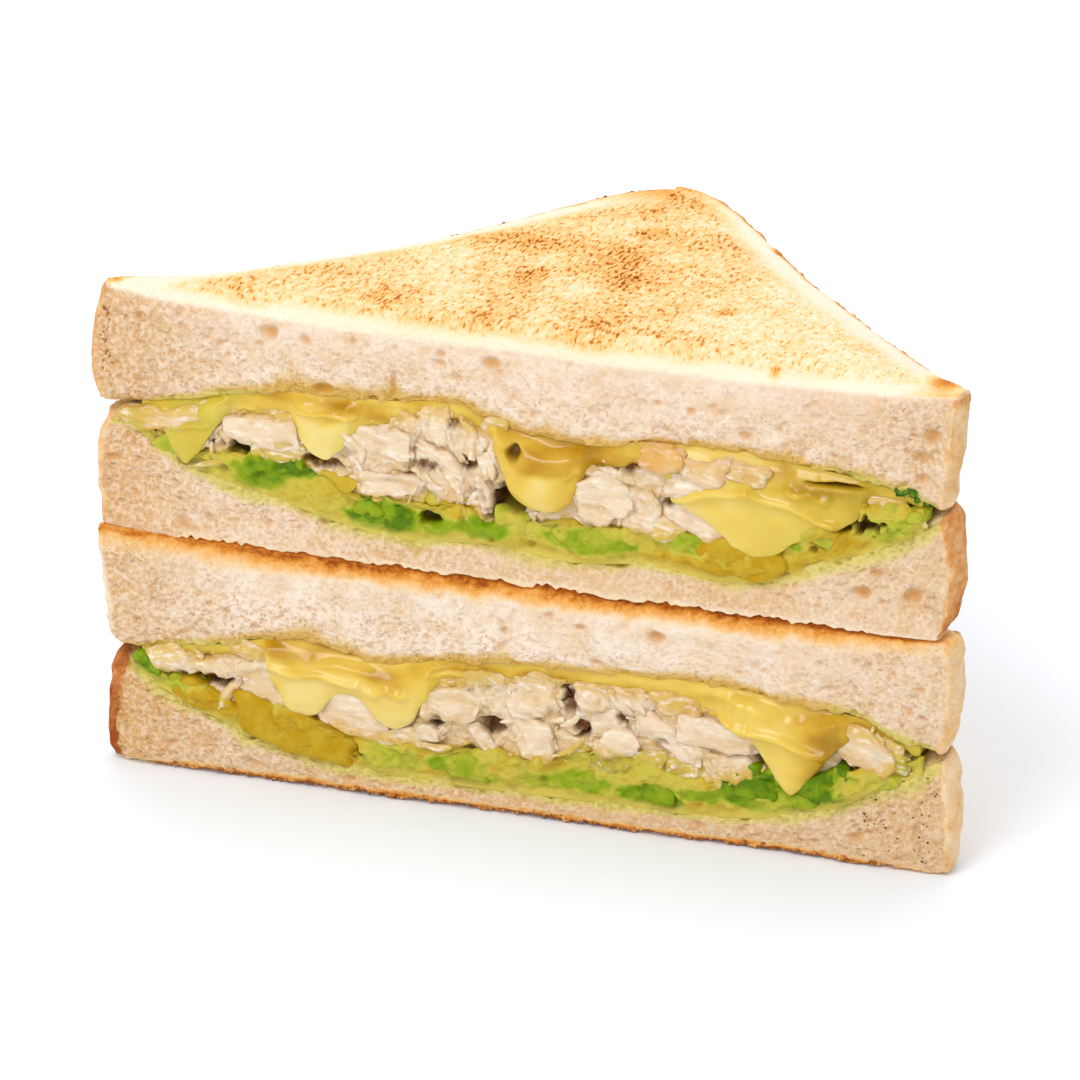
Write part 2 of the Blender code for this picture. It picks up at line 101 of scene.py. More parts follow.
# Rings along a piece and points round it: chicken, shreds, loose scraps, and lumps of avocado.
CHUNK_GRID, SHRED_GRID, SCRAP_GRID, LUMP_GRID = (50, 42), (40, 14), (14, 12), (44, 34)
CHUNK_CUTS = 16  # flat cuts that facet a chunk of filling
CHUNK_STRETCH = 1.06  # a chunk's width over its stated one
BOX_SHARE = 0.86  # how far a square one fills its box
FACET_REACH = (0.74, 1.0)  # how near its flat cuts come, as a share of the whole body's reach
SHARP, SHARPER = 5.0, 10.0  # how sharp its edges are, and how much sharper when cut square
GRAIN_LONG, GRAIN_ACROSS = 5.0, 0.9  # how long and how wide its fibres are
PIECE_GROWTH = 1.18  # how far pieces press into one another
LEDGES = 2.6  # steps that the flakes of meat part in, over the noise's range
COAT_ROUGHNESS = 0.07  # of a wet film
# How brown the cut is at each share of the way down from the toasted face.
EDGE_BROWNING = ((0.0, 0.84), (0.07, 0.7), (0.18, 0.58), (0.34, 0.49), (0.52, 0.4), (0.7, 0.27), (0.86, 0.1),
                 (1.0, 0.0))
SEAM_FALL = 2.4  # how far the front of the lower half's top edge rounds down
HANG_FORWARD, HANG_DOWN = 1.5, 1.3  # how far the torn edge above it leans over it
SEAM_CLEARANCE = 0.1  # how far that edge stays above it
# The seam's dark line is partly toast and partly painted shade under the torn edge leaning over it.
SEAM_LIFT, SEAM_SLOPE = -0.6, 0.42  # where the seam's dark line runs, and how it rises going back
RIM_BROWN = 0.7  # how brown the toasted face is along its crust
RIM_FULL, RIM_FADE = (1.9, 0.8), (3.4, 2.4)  # that brown's width, and its border's, left and right
CORNER_BROWN, CORNER_BROWN_REACH = 0.56, 13.0  # and at its square corner
BORDER_TOAST = 0.07  # how brown it is where the grill did not touch it
PLATEAU_INSET = (8.5, 5.0)  # that border's width, left and right
PLATEAU_CORNER = 3.5  # how much less it is at the corner
PATCH_SQUASH = 0.8  # browned patches are this much shorter across than going back
SMALL_PATCH = 3.0  # a patch of up to this radius lies on the rim as darkly as on the flat
PORE_REACH, PIT_REACH = 2.0, 0.5  # how far in from the cut and the toasted face bubbles open
CRUMB_WARP, WARP_CELL = 0.55, 2.2  # how far the crumb's bubbles are pushed out of round
CRUMB_FLAT = (1.9, 1.35)  # how much flatter than long they are, in a bottom and a top slice
# The crumb's bubbles: their share of a ball's depth, their cell, the share of cells filled, and a seed.
CRUMB_BUBBLES = ((0.5, 4.4, 0.24, 10), (0.62, 2.4, 0.6, 20), (0.75, 1.5, 0.8, 30), (0.8, 0.95, 0.9, 35))


# ---------------------------------------------------------------- small maths on whole arrays


def smooth(value: np.ndarray) -> np.ndarray:
    """Smoothstep: 0 below 0, 1 above 1, and an S curve between."""
    t = np.clip(value, 0.0, 1.0)
    return t * t * (3.0 - 2.0 * t)


def rounding(distance: np.ndarray, radius: float, fall: float) -> np.ndarray:
    """How far a rounded edge falls away: fall times the square of the nearness to the edge."""
    return fall * np.clip(1.0 - distance / radius, 0.0, 1.0) ** 2


def line_through(points: list, x: np.ndarray) -> np.ndarray:
    """Height at x on a cubic Hermite curve through (x, z) pairs, flat past its ends.

    Args:
        points: The curve's (x, z) pairs, from left to right.
        x: Where to read it.

    Returns:
        The heights at x.
    """
    xs, zs = np.array(points, float).T
    slopes = np.gradient(zs, xs)
    x = np.clip(x, xs[0], xs[-1])
    k = np.clip(np.searchsorted(xs, x, side="right") - 1, 0, len(xs) - 2)
    width = xs[k + 1] - xs[k]
    t = (x - xs[k]) / width
    return (
        (2 * t**3 - 3 * t**2 + 1) * zs[k]
        + (t**3 - 2 * t**2 + t) * width * slopes[k]
        + (3 * t**2 - 2 * t**3) * zs[k + 1]
        + (t**3 - t**2) * width * slopes[k + 1]
    )


def scatter(cells: np.ndarray, seed: int) -> np.ndarray:
    """A repeatable random share from 0 to 1 for each lattice cell, by mixing its three integers.

    Args:
        cells: Integers whose last axis names a cell.
        seed: Which draw.

    Returns:
        A share for each cell.
    """
    mixed = (cells[..., 0] * 73856093) ^ (cells[..., 1] * 19349663) ^ (cells[..., 2] * 83492791)
    mixed = (mixed ^ (seed * 2654435761)) & 0xFFFFFFFF
    mixed = mixed * 2246822519 & 0xFFFFFFFF
    mixed = (mixed ^ (mixed >> 15)) * 3266489917 & 0xFFFFFFFF
    return ((mixed ^ (mixed >> 13)) & 0xFFFF) / 65535.0


def noise(points: np.ndarray, cell: float | tuple, seed: int) -> np.ndarray:
    """Smooth lattice noise from -1 to 1, its lumps about one cell across.

    Args:
        points: An array of places whose last axis is x, y, z.
        cell: The size of a lump, or one size for each axis.
        seed: Which field of lumps.

    Returns:
        The noise at each place.
    """
    scaled = points / np.asarray(cell, float)
    base = np.floor(scaled).astype(np.int64)
    part = scaled - base
    part = part * part * (3.0 - 2.0 * part)
    total = np.zeros(points.shape[:-1])
    for corner in np.ndindex(2, 2, 2):
        offset = np.array(corner)
        weight = np.prod(np.where(offset == 1, part, 1.0 - part), axis=-1)
        total += (2.0 * scatter(base + offset, seed) - 1.0) * weight
    return total


def fractal(points: np.ndarray, cell: float, seed: int, octaves: int = 3) -> np.ndarray:
    """Lattice noise summed over octaves, each half the size and half the strength of the last.

    Args:
        points: Places whose last axis is x, y, z.
        cell: The largest lumps' size.
        seed: Which field.
        octaves: How many sizes.

    Returns:
        The sum at each place.
    """
    total = np.zeros(points.shape[:-1])
    for octave in range(octaves):
        total += noise(points, cell / 2**octave, seed + octave) / 2**octave
    return total


def bubbles(points: np.ndarray, cell: float, fill: float, seed: int) -> np.ndarray:
    """Depth at each place of the round hollows that a cut leaves through a foam.

    Each lattice cell may hold one ball with its own centre and radius, and the depth is about half
    the ball's chord through the place, with a softer rim: radius * (1 - distance**2) ** 0.8.

    Args:
        points: Places whose last axis is x, y, z.
        cell: The lattice's pitch, about the largest ball's width.
        fill: The share of cells that hold a ball.
        seed: Which foam.

    Returns:
        The depth at each place.
    """
    scaled = points / cell
    base = np.floor(scaled).astype(np.int64)
    deepest = np.zeros(points.shape[:-1])
    for near in np.ndindex(3, 3, 3):
        at = base + np.array(near) - 1
        jitter = np.stack([scatter(at, seed + k) for k in (1, 2, 3)], axis=-1)
        radius = 0.18 + 0.34 * scatter(at, seed + 4) ** 2
        away = np.linalg.norm(scaled - at - 0.15 - 0.7 * jitter, axis=-1) / radius
        depth = radius * np.clip(1.0 - away**2, 0.0, 1.0) ** 0.8
        deepest = np.maximum(deepest, np.where(scatter(at, seed + 5) < fill, depth, 0.0))
    return deepest * cell


def lumpy(places: np.ndarray, seed: int, *waves: tuple) -> np.ndarray:
    """A sum of noises, each by its strength, its cell and its number among the seed's fields."""
    return sum(strength * noise(places, cell, seed + number) for strength, cell, number in waves)


def spot_distance(places: np.ndarray, x: float, z: float, half_width: float,
                  half_height: float) -> np.ndarray:
    """How far places at the cut lie from a spot's middle, counted in the spot's half sizes."""
    return np.hypot((places[..., 0] - x) / half_width, (places[..., 2] - z) / half_height)


def taper(x: np.ndarray) -> np.ndarray:
    """The share of the toasted edge's fall that is left along the cut: all of it in the middle."""
    return 1.0 - EDGE_TAPER * (x / HALF_CUT) ** 4


# ---------------------------------------------------------------- one half's layers


class Layer(Enum):
    """The lines that the knife left showing along a half's cut."""

    BED = "bed"
    MASH = "mash"
    MEAT = "meat"
    LID = "lid"


@dataclass(frozen=True)
class Half:
    """One half of the sandwich: the forms that its slices and fillings share, and its place."""

    name: str
    lines: dict
    offset: tuple = (0.0, 0.0, 0.0)
    turn: float = 0.0

    def leg_depth(self, x: np.ndarray) -> np.ndarray:
        """How far the crust lies behind the cut: a hyperbola with its corner at x = 0, caved in.

        Args:
            x: Places along the cut.

        Returns:
            The crust's distance behind the cut there.
        """
        across = np.minimum(np.abs(x), HALF_CUT)
        slope = (CORNER_DEPTH - TIP_DEPTH) / (np.hypot(HALF_CUT, CORNER_ROUND) - CORNER_ROUND)
        straight = CORNER_DEPTH + slope * CORNER_ROUND - slope * np.hypot(across, CORNER_ROUND)
        return straight - np.where(x < 0, *LEG_SINK) * np.sin(np.pi * across / HALF_CUT) ** 2

    def crust_distance(self, x: np.ndarray, y: np.ndarray) -> np.ndarray:
        """How far in from the nearer crust side a place lies."""
        return np.maximum(self.leg_depth(x) - y, 0.0) / LEG_SLANT

    def filling_depth(self, x: np.ndarray, least: float, inset: float = FILL_INSET) -> np.ndarray:
        """How far behind the cut a filling goes: a share of the way to the crust, less its inset."""
        return np.maximum(self.leg_depth(x) * FILL_SHARE - inset, least)

    def deep(self, x: np.ndarray, y: np.ndarray, rim: float, middle: float) -> np.ndarray:
        """A layer's height away from the cut: from rim to middle as the crust falls behind."""
        return rim + (middle - rim) * smooth(self.crust_distance(x, y) / PRESSED_REACH)

    def pressed(self, layer: Layer, x: np.ndarray, y: np.ndarray) -> np.ndarray:
        """The bed's or lid's height: its line at the cut, fading to the deep form further in.

        Args:
            layer: The bed or the lid.
            x, y: Places along the cut and behind it.

        Returns:
            The heights there.
        """
        rim, middle = (BED_RIM, BED_MIDDLE) if layer is Layer.BED else (LID_RIM, LID_MIDDLE)
        seen = line_through(self.lines[layer], x) - self.deep(x, 0.0 * x, rim, middle)
        return self.deep(x, y, rim, middle) + seen * np.exp(-((y / CUT_REACH) ** 2))

    def bed(self, x: np.ndarray, y: np.ndarray) -> np.ndarray:
        """Top of the bottom slice."""
        return self.pressed(Layer.BED, x, y)

    def lid(self, x: np.ndarray, y: np.ndarray) -> np.ndarray:
        """Underside of the top slice."""
        return self.pressed(Layer.LID, x, y)

    def between(self, layer: Layer, x: np.ndarray, y: np.ndarray) -> np.ndarray:
        """Top of the mash or the meat: its own line at the cut, a share of the filling further in.

        Args:
            layer: The mash or the meat.
            x, y: Places along the cut and behind it.

        Returns:
            The heights there.
        """
        share = {Layer.MASH: 0.36, Layer.MEAT: 0.78}[layer]
        low, high = self.bed(x, y), self.lid(x, y)
        cut_low, cut_high = self.bed(x, 0.0 * x), self.lid(x, 0.0 * x)
        cut_share = (line_through(self.lines[layer], x) - cut_low) / (cut_high - cut_low)
        return low + (high - low) * (share + (cut_share - share) * np.exp(-((y / CUT_REACH) ** 2)))

    def world(self, points: np.ndarray) -> np.ndarray:
        """Places in this half's plan, in millimetres, as places in the frame, in metres.

        Args:
            points: Places in the plan.

        Returns:
            The same places in the frame.
        """
        c, s = np.cos(self.turn), np.sin(self.turn)
        x, y, z = points[..., 0], points[..., 1], points[..., 2]
        turned = np.stack([c * x - s * y, s * x + c * y, z], axis=-1)
        return (turned + np.array(self.offset) - np.array([*PLAN_CENTRE, 0.0])) * METRES


LOWER = Half(
    "lower",
    {
        Layer.BED: [(-66, 17.6), (-60, 14.2), (-50, 10.0), (-40, 6.6), (-28, 5.0), (-10, 4.7), (10, 5.0),
                    (28, 5.3), (40, 6.6), (50, 9.6), (60, 15.4), (67, 18.8)],
        Layer.LID: [(-68, 19.6), (-60, 20.5), (-50, 21.6), (-40, 24.0), (-26, 22.2), (-10, 24.2), (5, 25.4),
                    (30, 25.8), (45, 24.6), (55, 23.4), (61, 20.9), (67, 20.2)],
        Layer.MASH: [(-64, 17.9), (-55, 14.4), (-46, 12.4), (-38, 12.4), (-28, 10.4), (-18, 9.4), (-8, 10.2),
                     (2, 10.2), (12, 13.4), (22, 11.4), (30, 10.4), (40, 14.0), (52, 14.8), (63, 18.6)],
        Layer.MEAT: [(-64, 19.3), (-54, 20.2), (-44, 21.8), (-30, 19.8), (-18, 20.6), (-6, 22.2), (6, 23.8),
                     (18, 23.4), (32, 22.0), (46, 21.6), (56, 21.8), (63, 19.9)],
    },
)
UPPER = Half(
    "upper",
    {
        Layer.BED: [(-66, 16.8), (-60, 13.8), (-50, 9.3), (-40, 7.3), (-30, 5.0), (-20, 3.7), (-8, 4.9),
                    (8, 3.9), (20, 5.2), (30, 4.2), (40, 5.3), (50, 9.8), (60, 14.4), (67, 18.6)],
        Layer.LID: [(-68, 19.2), (-60, 20.3), (-50, 22.3), (-40, 24.3), (-22, 24.8), (-11, 26.0), (0, 22.8),
                    (10, 22.3), (22, 24.2), (40, 24.0), (50, 23.0), (60, 21.4), (67, 19.6)],
        Layer.MASH: [(-64, 17.2), (-56, 13.4), (-46, 12.8), (-38, 13.4), (-30, 10.0), (-20, 9.8),
                    (-12, 9.8), (-8, 8.8), (-4, 7.0), (0, 8.2), (4, 9.2), (15, 9.4), (26, 10.2), (36, 9.4),
                    (45, 13.2), (54, 18.2), (63, 19.2)],
        Layer.MEAT: [(-64, 18.9), (-54, 20.4), (-40, 20.9), (-26, 21.6), (-14, 24.4), (-5, 22.4), (4, 20.2),
                     (12, 19.8), (22, 22.0), (32, 21.2), (50, 20.9), (63, 20.2)],
    },
    offset=(UPPER_SHIFT, UPPER_SETBACK, TOP + STACK_GAP),
    turn=-UPPER_TURN,
)


# ---------------------------------------------------------------- meshes from arrays


def grid_triangles(rows: int, columns: int, closed: bool) -> np.ndarray:
    """Triangles of a grid of points, its columns joined round into a loop if closed.

    Args:
        rows, columns: The grid's size.
        closed: Whether its last column joins its first.

    Returns:
        Three point numbers for each triangle.
    """
    last = columns if closed else columns - 1
    i, j = np.meshgrid(np.arange(rows - 1), np.arange(last), indexing="ij")
    a, b = i * columns + j, (i + 1) * columns + j
    step = (j + 1) % columns
    c, d = (i + 1) * columns + step, i * columns + step
    return np.concatenate([np.stack(corners, -1).reshape(-1, 3) for corners in ((a, b, c), (a, c, d))])


def loop_steps(loop: tuple) -> list:
    """Even shares from 0 up to 1 for each side of a loop, by how many points it has."""
    return [np.arange(count) / count for count in loop]


def tube(points: np.ndarray) -> tuple:
    """A loop carried along stations, closed at both ends by a fan to the end loop's middle.

    Args:
        points: Stations by loop points by 3.

    Returns:
        The points in one list, and the triangles.
    """
    rows, columns = points.shape[:2]
    poles = np.stack([points[0].mean(axis=0), points[-1].mean(axis=0)])
    j = np.arange(columns)
    after = (j + 1) % columns
    first, last = rows * columns, rows * columns + 1
    start = np.stack([np.full(columns, first), j, after], -1)
    end = np.stack([np.full(columns, last), (rows - 1) * columns + after, (rows - 1) * columns + j], -1)
    faces = np.concatenate([grid_triangles(rows, columns, True), start, end])
    return np.concatenate([points.reshape(-1, 3), poles]), faces


def with_poles(values: np.ndarray) -> np.ndarray:
    """A value for each point of a tube, with the two poles' values taken from its end loops."""
    return np.concatenate([values.reshape(-1), [values[0].mean(), values[-1].mean()]])


def outward(points: np.ndarray, faces: np.ndarray) -> np.ndarray:
    """The triangles turned to face out, by the sign of the volume that they enclose.

    Args:
        points, faces: The mesh.

    Returns:
        The faces, each turned round where they faced in.
    """
    a, b, c = points[faces[:, 0]], points[faces[:, 1]], points[faces[:, 2]]
    volume = np.einsum("ij,ij->", a, np.cross(b, c))
    return faces if volume > 0 else faces[:, ::-1]


def grid_normals(points: np.ndarray) -> np.ndarray:
    """Unit normals of a loop carried along stations, from the differences between neighbours.

    Args:
        points: Stations by loop points by 3.

    Returns:
        One normal for each point.
    """
    along = np.gradient(points, axis=0)
    around = np.roll(points, -1, axis=1) - np.roll(points, 1, axis=1)
    normal = np.cross(along, around)
    return normal / np.maximum(np.linalg.norm(normal, axis=-1, keepdims=True), 1e-9)


def cut_normals(points: np.ndarray, at_cut: int) -> np.ndarray:
    """Grid normals that face out, by how the middle station's loop point at the cut faces."""
    normals = grid_normals(points)
    return -normals if normals[len(points) // 2, at_cut, 1] > 0 else normals


@dataclass
class Piece:
    """A finished mesh on its way into the scene; an empty slot is a finish that the record doesn't list."""

    name: str
    slot: str
    points: list = field(default_factory=list)
    faces: list = field(default_factory=list)
    masks: dict = field(default_factory=dict)

    def add(self, points: np.ndarray, faces: np.ndarray, masks: dict) -> None:
        """Joins one more shape to the piece.

        Args:
            points: Its points in the frame, in metres.
            faces: Its triangles.
            masks: A value for each point, under each mask's name.
        """
        start = sum(len(p) for p in self.points)
        self.points.append(points)
        self.faces.append(outward(points, faces) + start)
        for key, values in masks.items():
            self.masks.setdefault(key, []).append(np.broadcast_to(values, len(points)))

    def add_tube(self, half: Half, places: np.ndarray, masks: dict) -> None:
        """Joins a loop carried along stations, all in a half's plan, with its masks."""
        points, faces = tube(places)
        self.add(half.world(points), faces, {key: with_poles(values) for key, values in masks.items()})

    def build(self, material: bpy.types.Material, nodes: tuple = ()) -> bpy.types.Object:
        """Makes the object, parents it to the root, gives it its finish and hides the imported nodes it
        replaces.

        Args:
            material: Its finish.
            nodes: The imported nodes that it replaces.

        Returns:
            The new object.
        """
        points = np.concatenate(self.points).astype(np.float32)
        faces = np.concatenate(self.faces).astype(np.int32)
        mesh = bpy.data.meshes.new(self.name)
        mesh.vertices.add(len(points))
        mesh.vertices.foreach_set("co", points.ravel())
        mesh.loops.add(faces.size)
        mesh.loops.foreach_set("vertex_index", faces.ravel())
        mesh.polygons.add(len(faces))
        mesh.polygons.foreach_set("loop_start", np.arange(len(faces), dtype=np.int32) * 3)
        for key, values in self.masks.items():
            attribute = mesh.attributes.new(key, "FLOAT", "POINT")
            attribute.data.foreach_set("value", np.concatenate(values).astype(np.float32))
        mesh.update()
        mesh.validate()
        mesh.shade_smooth()
        mesh.materials.append(material)
        piece = bpy.data.objects.new(self.name, mesh)
        bpy.context.scene.collection.objects.link(piece)
        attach(piece, "root")
        if nodes:
            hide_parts(*nodes)
        LOG.info("%s: %d triangles", self.name, len(faces))
        return piece


# ---------------------------------------------------------------- bread


@dataclass(frozen=True)
class Hollow:
    """A large bubble that shows at the cut, at its real place: middle, half sizes and depth."""

    x: float
    z: float
    half_width: float
    half_height: float
    depth: float


@dataclass
class BreadSlice:
    """One thick slice: crumb at the cut, a toasted face, an inner face, and crust round the legs.

    left, right: how far its tips reach at its underside, middle and top.
    front_fall: how far the toasted face falls at the cut.
    edge_toast: how far browning reaches down the cut; edge_dark: (x, darkness) pairs along it.
    face_toast: how brown the toasted face is; bake: how brown the crust is, left and right.
    soak, smear: (x, reach) pairs for how far cheese and avocado have soaked in from the filling.
    under_stack: whether the other half stands on it, set back from its cut; lace: how open its crumb
    is; tan_and_painted_shade: how much darker its crumb is than the whitest, partly its own tan and
    partly painted shade.
    """

    half: Half
    on_top: bool
    left: tuple
    right: tuple
    front_fall: float
    seed: int
    edge_toast: float
    edge_dark: tuple
    face_toast: float
    bake: tuple
    soak: tuple
    smear: tuple
    patches: tuple = ()
    hollows: tuple = ()
    under_stack: bool = False
    lace: float = 1.0
    left_strip: float = 0.7
    tan_and_painted_shade: float = 0.0
    loop: tuple = (56, 46, 52, 46)  # points up the cut, over the top, down the crust, back underneath
    stations: int = 400
    cap_rings: int = 12

    @property
    def name(self) -> str:
        """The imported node's name."""
        return f"{self.half.name}_{'top' if self.on_top else 'bottom'}_slice"

    def loop_shares(self) -> tuple:
        """Depth share and height share of each loop point, closer together near the edges.

        Returns:
            The two shares of each point.
        """

        def spread(count: int, pull: float) -> np.ndarray:
            """Shares from 0 to 1, drawn towards both ends by a sine."""
            t = np.arange(count) / count
            return t - pull * np.sin(2.0 * np.pi * t) / (2.0 * np.pi)

        front, over, crust, under = self.loop
        zero, one = np.zeros, np.ones
        depth = np.concatenate([zero(front), spread(over, 0.55), one(crust), 1.0 - spread(under, 0.55)])
        rise = np.concatenate([spread(front, 0.2), one(over), 1.0 - spread(crust, 0.2), zero(under)])
        return depth, rise

    def tips(self, rise: np.ndarray) -> tuple:
        """How far the left and right tips reach at each height share, as curves through three values."""

        def through(low: float, middle: float, high: float) -> np.ndarray:
            """The parabola through its values at height shares 0, a half and 1."""
            return low + rise * (4 * middle - 3 * low - high) + rise**2 * (2 * low + 2 * high - 4 * middle)

        return through(*self.left), through(*self.right)

    def toasted_face(self, x: np.ndarray, y: np.ndarray) -> np.ndarray:
        """Height of the toasted face: the sloping top, or the underside that curls up at its rim.

        Args:
            x, y: Places along the cut and behind it.

        Returns:
            The heights there.
        """
        distance = self.half.crust_distance(x, y)
        if not self.on_top:
            return UNDERSIDE_LIFT * smooth(1.0 - distance / CURL_WIDTH) * smooth(y / CURL_START)
        drop = np.where(x < 0, *RIM_DROP) * smooth(1.0 - distance / RIM_WIDTH)
        at_corner = smooth((y / CORNER_DEPTH - CORNER_START) / (1.0 - CORNER_START))
        drop = drop * (1.0 - (1.0 - CORNER_DROP) * at_corner)
        sag = SAG * (1.0 + noise(np.stack([x, y, 0.0 * x], axis=-1), SAG_CELL, self.seed))
        return TOP - drop * smooth(y / TOP_START) - sag * smooth(y / SAG_START)

    def surface(self, u: np.ndarray, share: np.ndarray, rise: np.ndarray) -> tuple:
        """Places on the slice for a share of its length, depth and height.

        Args:
            u: Shares of the length.
            share: Shares of the depth.
            rise: Shares of the height.

        Returns:
            The places, and how far each lies from the cut, the crust, the tip and the toasted face.
        """
        left, right = self.tips(rise)
        reach = np.where(u < 0, left, right)
        x = u * reach
        depth = self.half.leg_depth(x)
        y = share * depth
        if self.on_top:
            low, high = self.half.lid(x, y), self.toasted_face(x, y)
        else:
            low, high = self.toasted_face(x, y), self.half.bed(x, y)
        to_tip = reach - np.abs(x)
        toasted = np.maximum(rounding(depth - y, *CRUST_EDGE), rounding(to_tip, *TIP_EDGE))
        toasted = np.maximum(toasted, rounding(y, EDGE_ROUND, self.front_fall * taper(x)))
        inner = np.maximum(rounding(np.minimum(depth - y, y), *INNER_EDGE), rounding(to_tip, *INNER_TIP))
        low_round, high_round = (inner, toasted) if self.on_top else (0.5 * toasted, inner)
        low, high = low + low_round, high - high_round
        thick = high - low
        z = low + rise * thick
        to_face = np.minimum(rise, 1.0 - rise) * thick
        to_toast = (1.0 - rise if self.on_top else rise) * thick
        wave = CUT_WAVE * noise(np.stack([x, y, z], axis=-1), CUT_WAVE_CELL, self.seed + 1)
        front, back = smooth(1.0 - y / FORM_REACH), smooth(1.0 - (depth - y) / FORM_REACH)
        y = y + (rounding(to_face, *CUT_EDGE) + wave) * front - rounding(to_face, *CRUST_BULGE) * back
        bulge = TIP_BULGE * np.sin(np.pi * np.clip(y / TIP_DEPTH, 0.0, 1.0)) - rounding(to_face, *TIP_EDGE)
        x = x + np.sign(u) * smooth((np.abs(u) - 1.0 + TIP_SHARE) / TIP_SHARE) * bulge
        distances = {"cut": share * depth, "crust": (1.0 - share) * depth, "tip": to_tip, "toast": to_toast,
                     "face": (1.0 - to_toast / np.maximum(thick, 0.1)) * thick}
        return np.stack([x, y, z], axis=-1), distances

    def grid(self) -> tuple:
        """Length, depth and height shares of the whole grid, with its tips' faces closed by rings.

        Returns:
            The three shares of each point.
        """
        share, rise = self.loop_shares()
        u = np.linspace(-1.0, 1.0, self.stations)
        shrink = (1.0 - np.arange(1, self.cap_rings) / self.cap_rings)[:, None]
        cap_share, cap_rise = 0.5 + (share - 0.5) * shrink, 0.5 + (rise - 0.5) * shrink
        along = np.concatenate([np.full(self.cap_rings - 1, -1.0), u, np.full(self.cap_rings - 1, 1.0)])
        body = np.ones((self.stations, 1))
        shares = np.concatenate([cap_share[::-1], share * body, cap_share])
        rises = np.concatenate([cap_rise[::-1], rise * body, cap_rise])
        return along[:, None] * np.ones(len(share)), shares, rises

    def crumb_depth(self, places: np.ndarray) -> np.ndarray:
        """How deep the crumb's bubbles lie below the cut, in four sizes, flattened where pressed.

        Args:
            places: Places whose last axis is x, y, z.

        Returns:
            The depth of each place.
        """
        warp = np.stack([noise(places, WARP_CELL, self.seed + k) for k in (3, 4, 5)], axis=-1)
        squashed = (places + CRUMB_WARP * warp) * np.array([1.0, 1.0, CRUMB_FLAT[self.on_top]])
        side = smooth((np.abs(places[..., 0]) - 34.0) / 30.0)
        body = smooth((self.toasted_distance(places) - (1.5 if self.on_top else -2.0)) / 4.0)
        large, middle, small, finest = (share * bubbles(squashed, cell, fill, self.seed + number)
                                        for share, cell, fill, number in CRUMB_BUBBLES)
        depth = np.maximum(large, middle) * (0.35 + 0.65 * body)
        depth = np.maximum(depth, np.maximum(small, finest) * (0.3 + 0.45 * body + 0.45 * side))
        for spot in self.hollows:
            away = spot_distance(places, spot.x, spot.z, spot.half_width, spot.half_height)
            away = away + 0.25 * noise(places, 1.3, self.seed + 6)
            depth = np.maximum(depth, spot.depth * np.clip(1.0 - away**2, 0.0, 1.0) ** 0.6)
        return depth

    def toasted_distance(self, places: np.ndarray) -> np.ndarray:
        """How far a place at the cut lies from the toasted face."""
        return TOP - places[..., 2] if self.on_top else places[..., 2]

    def plateau(self, places: np.ndarray) -> np.ndarray:
        """Where the toasted face lay flat on the grill: 1 on it, 0 on the soft border all round it.

        Args:
            places: Places whose last axis is x, y, z.

        Returns:
            A share for each place.
        """
        x, y = places[..., 0], places[..., 1]
        rim = self.half.crust_distance(x, y) + 1.2 * noise(places, 7.0, self.seed + 52)
        start = np.where(x < 0.0, *PLATEAU_INSET) - PLATEAU_CORNER * smooth((y - 50.0) / 20.0)
        behind = y + 0.8 * noise(places, 5.0, self.seed + 53) - 1.0
        return smooth((rim - start) / 4.0) * smooth(behind / 2.4)

    def toast_level(self, places: np.ndarray, distances: dict) -> tuple:
        """How browned each place is, from 0, pale, to 1, dark brown, and how far that covers the crumb.

        Args:
            places: Places whose last axis is x, y, z.
            distances: Each place's distances, from surface().

        Returns:
            The browning, and its cover.
        """
        x, y = places[..., 0], places[..., 1]
        plateau = self.plateau(places)
        level = self.face_toast * plateau * (1.0 - 0.4 * smooth((x - 10.0) / 36.0))
        for patch_x, patch_y, radius, strength in self.patches:
            away = np.hypot(x - patch_x, (y - patch_y) * PATCH_SQUASH) / radius
            flat = 0.2 + 0.8 * plateau if radius > SMALL_PATCH else 1.0
            level = np.maximum(level, strength * flat * np.exp(-(away**2)))
        level = BORDER_TOAST + level * (1.0 + 0.35 * fractal(places, 8.0, self.seed + 50))
        rough = noise(places, 2.5, self.seed + 51)
        rim = self.half.crust_distance(x, y) - np.where(x < 0.0, *RIM_FULL) + 0.9 * rough
        rim = RIM_BROWN * smooth(1.0 - rim / np.where(x < 0.0, *RIM_FADE)) * (1.0 + 0.25 * rough)
        corner = np.hypot(x, (y - CORNER_DEPTH) * PATCH_SQUASH) / CORNER_BROWN_REACH
        level = np.maximum(np.maximum(level, rim), CORNER_BROWN * np.exp(-(corner**2)))
        face = smooth(1.0 - distances["toast"] / 0.8)
        ragged = 0.12 * fractal(places * np.array([1.0, 0.5, 0.8]), 4.0, self.seed + 60)
        ragged = ragged + 0.1 * fractal(places, 1.3, self.seed + 66, 2)
        drop = distances["toast"]
        # Under the other half the browning runs down from the seam's dark line, partly painted shade.
        if self.under_stack:
            drop = TOP + SEAM_LIFT - places[..., 2] - SEAM_SLOPE * y
            level = np.where(distances["cut"] > UPPER_SETBACK + 0.6, level, 0.0)
        drop = np.maximum(drop / self.edge_toast + ragged, 0.0)
        edge = line_through(self.edge_dark, x) * line_through(EDGE_BROWNING, drop)
        edge = edge * smooth(1.0 - distances["cut"] / 7.0)
        cover = np.maximum(face, smooth((edge - 0.06) / 0.46))
        return np.clip(np.maximum(level * face, edge), 0.0, 1.0), cover

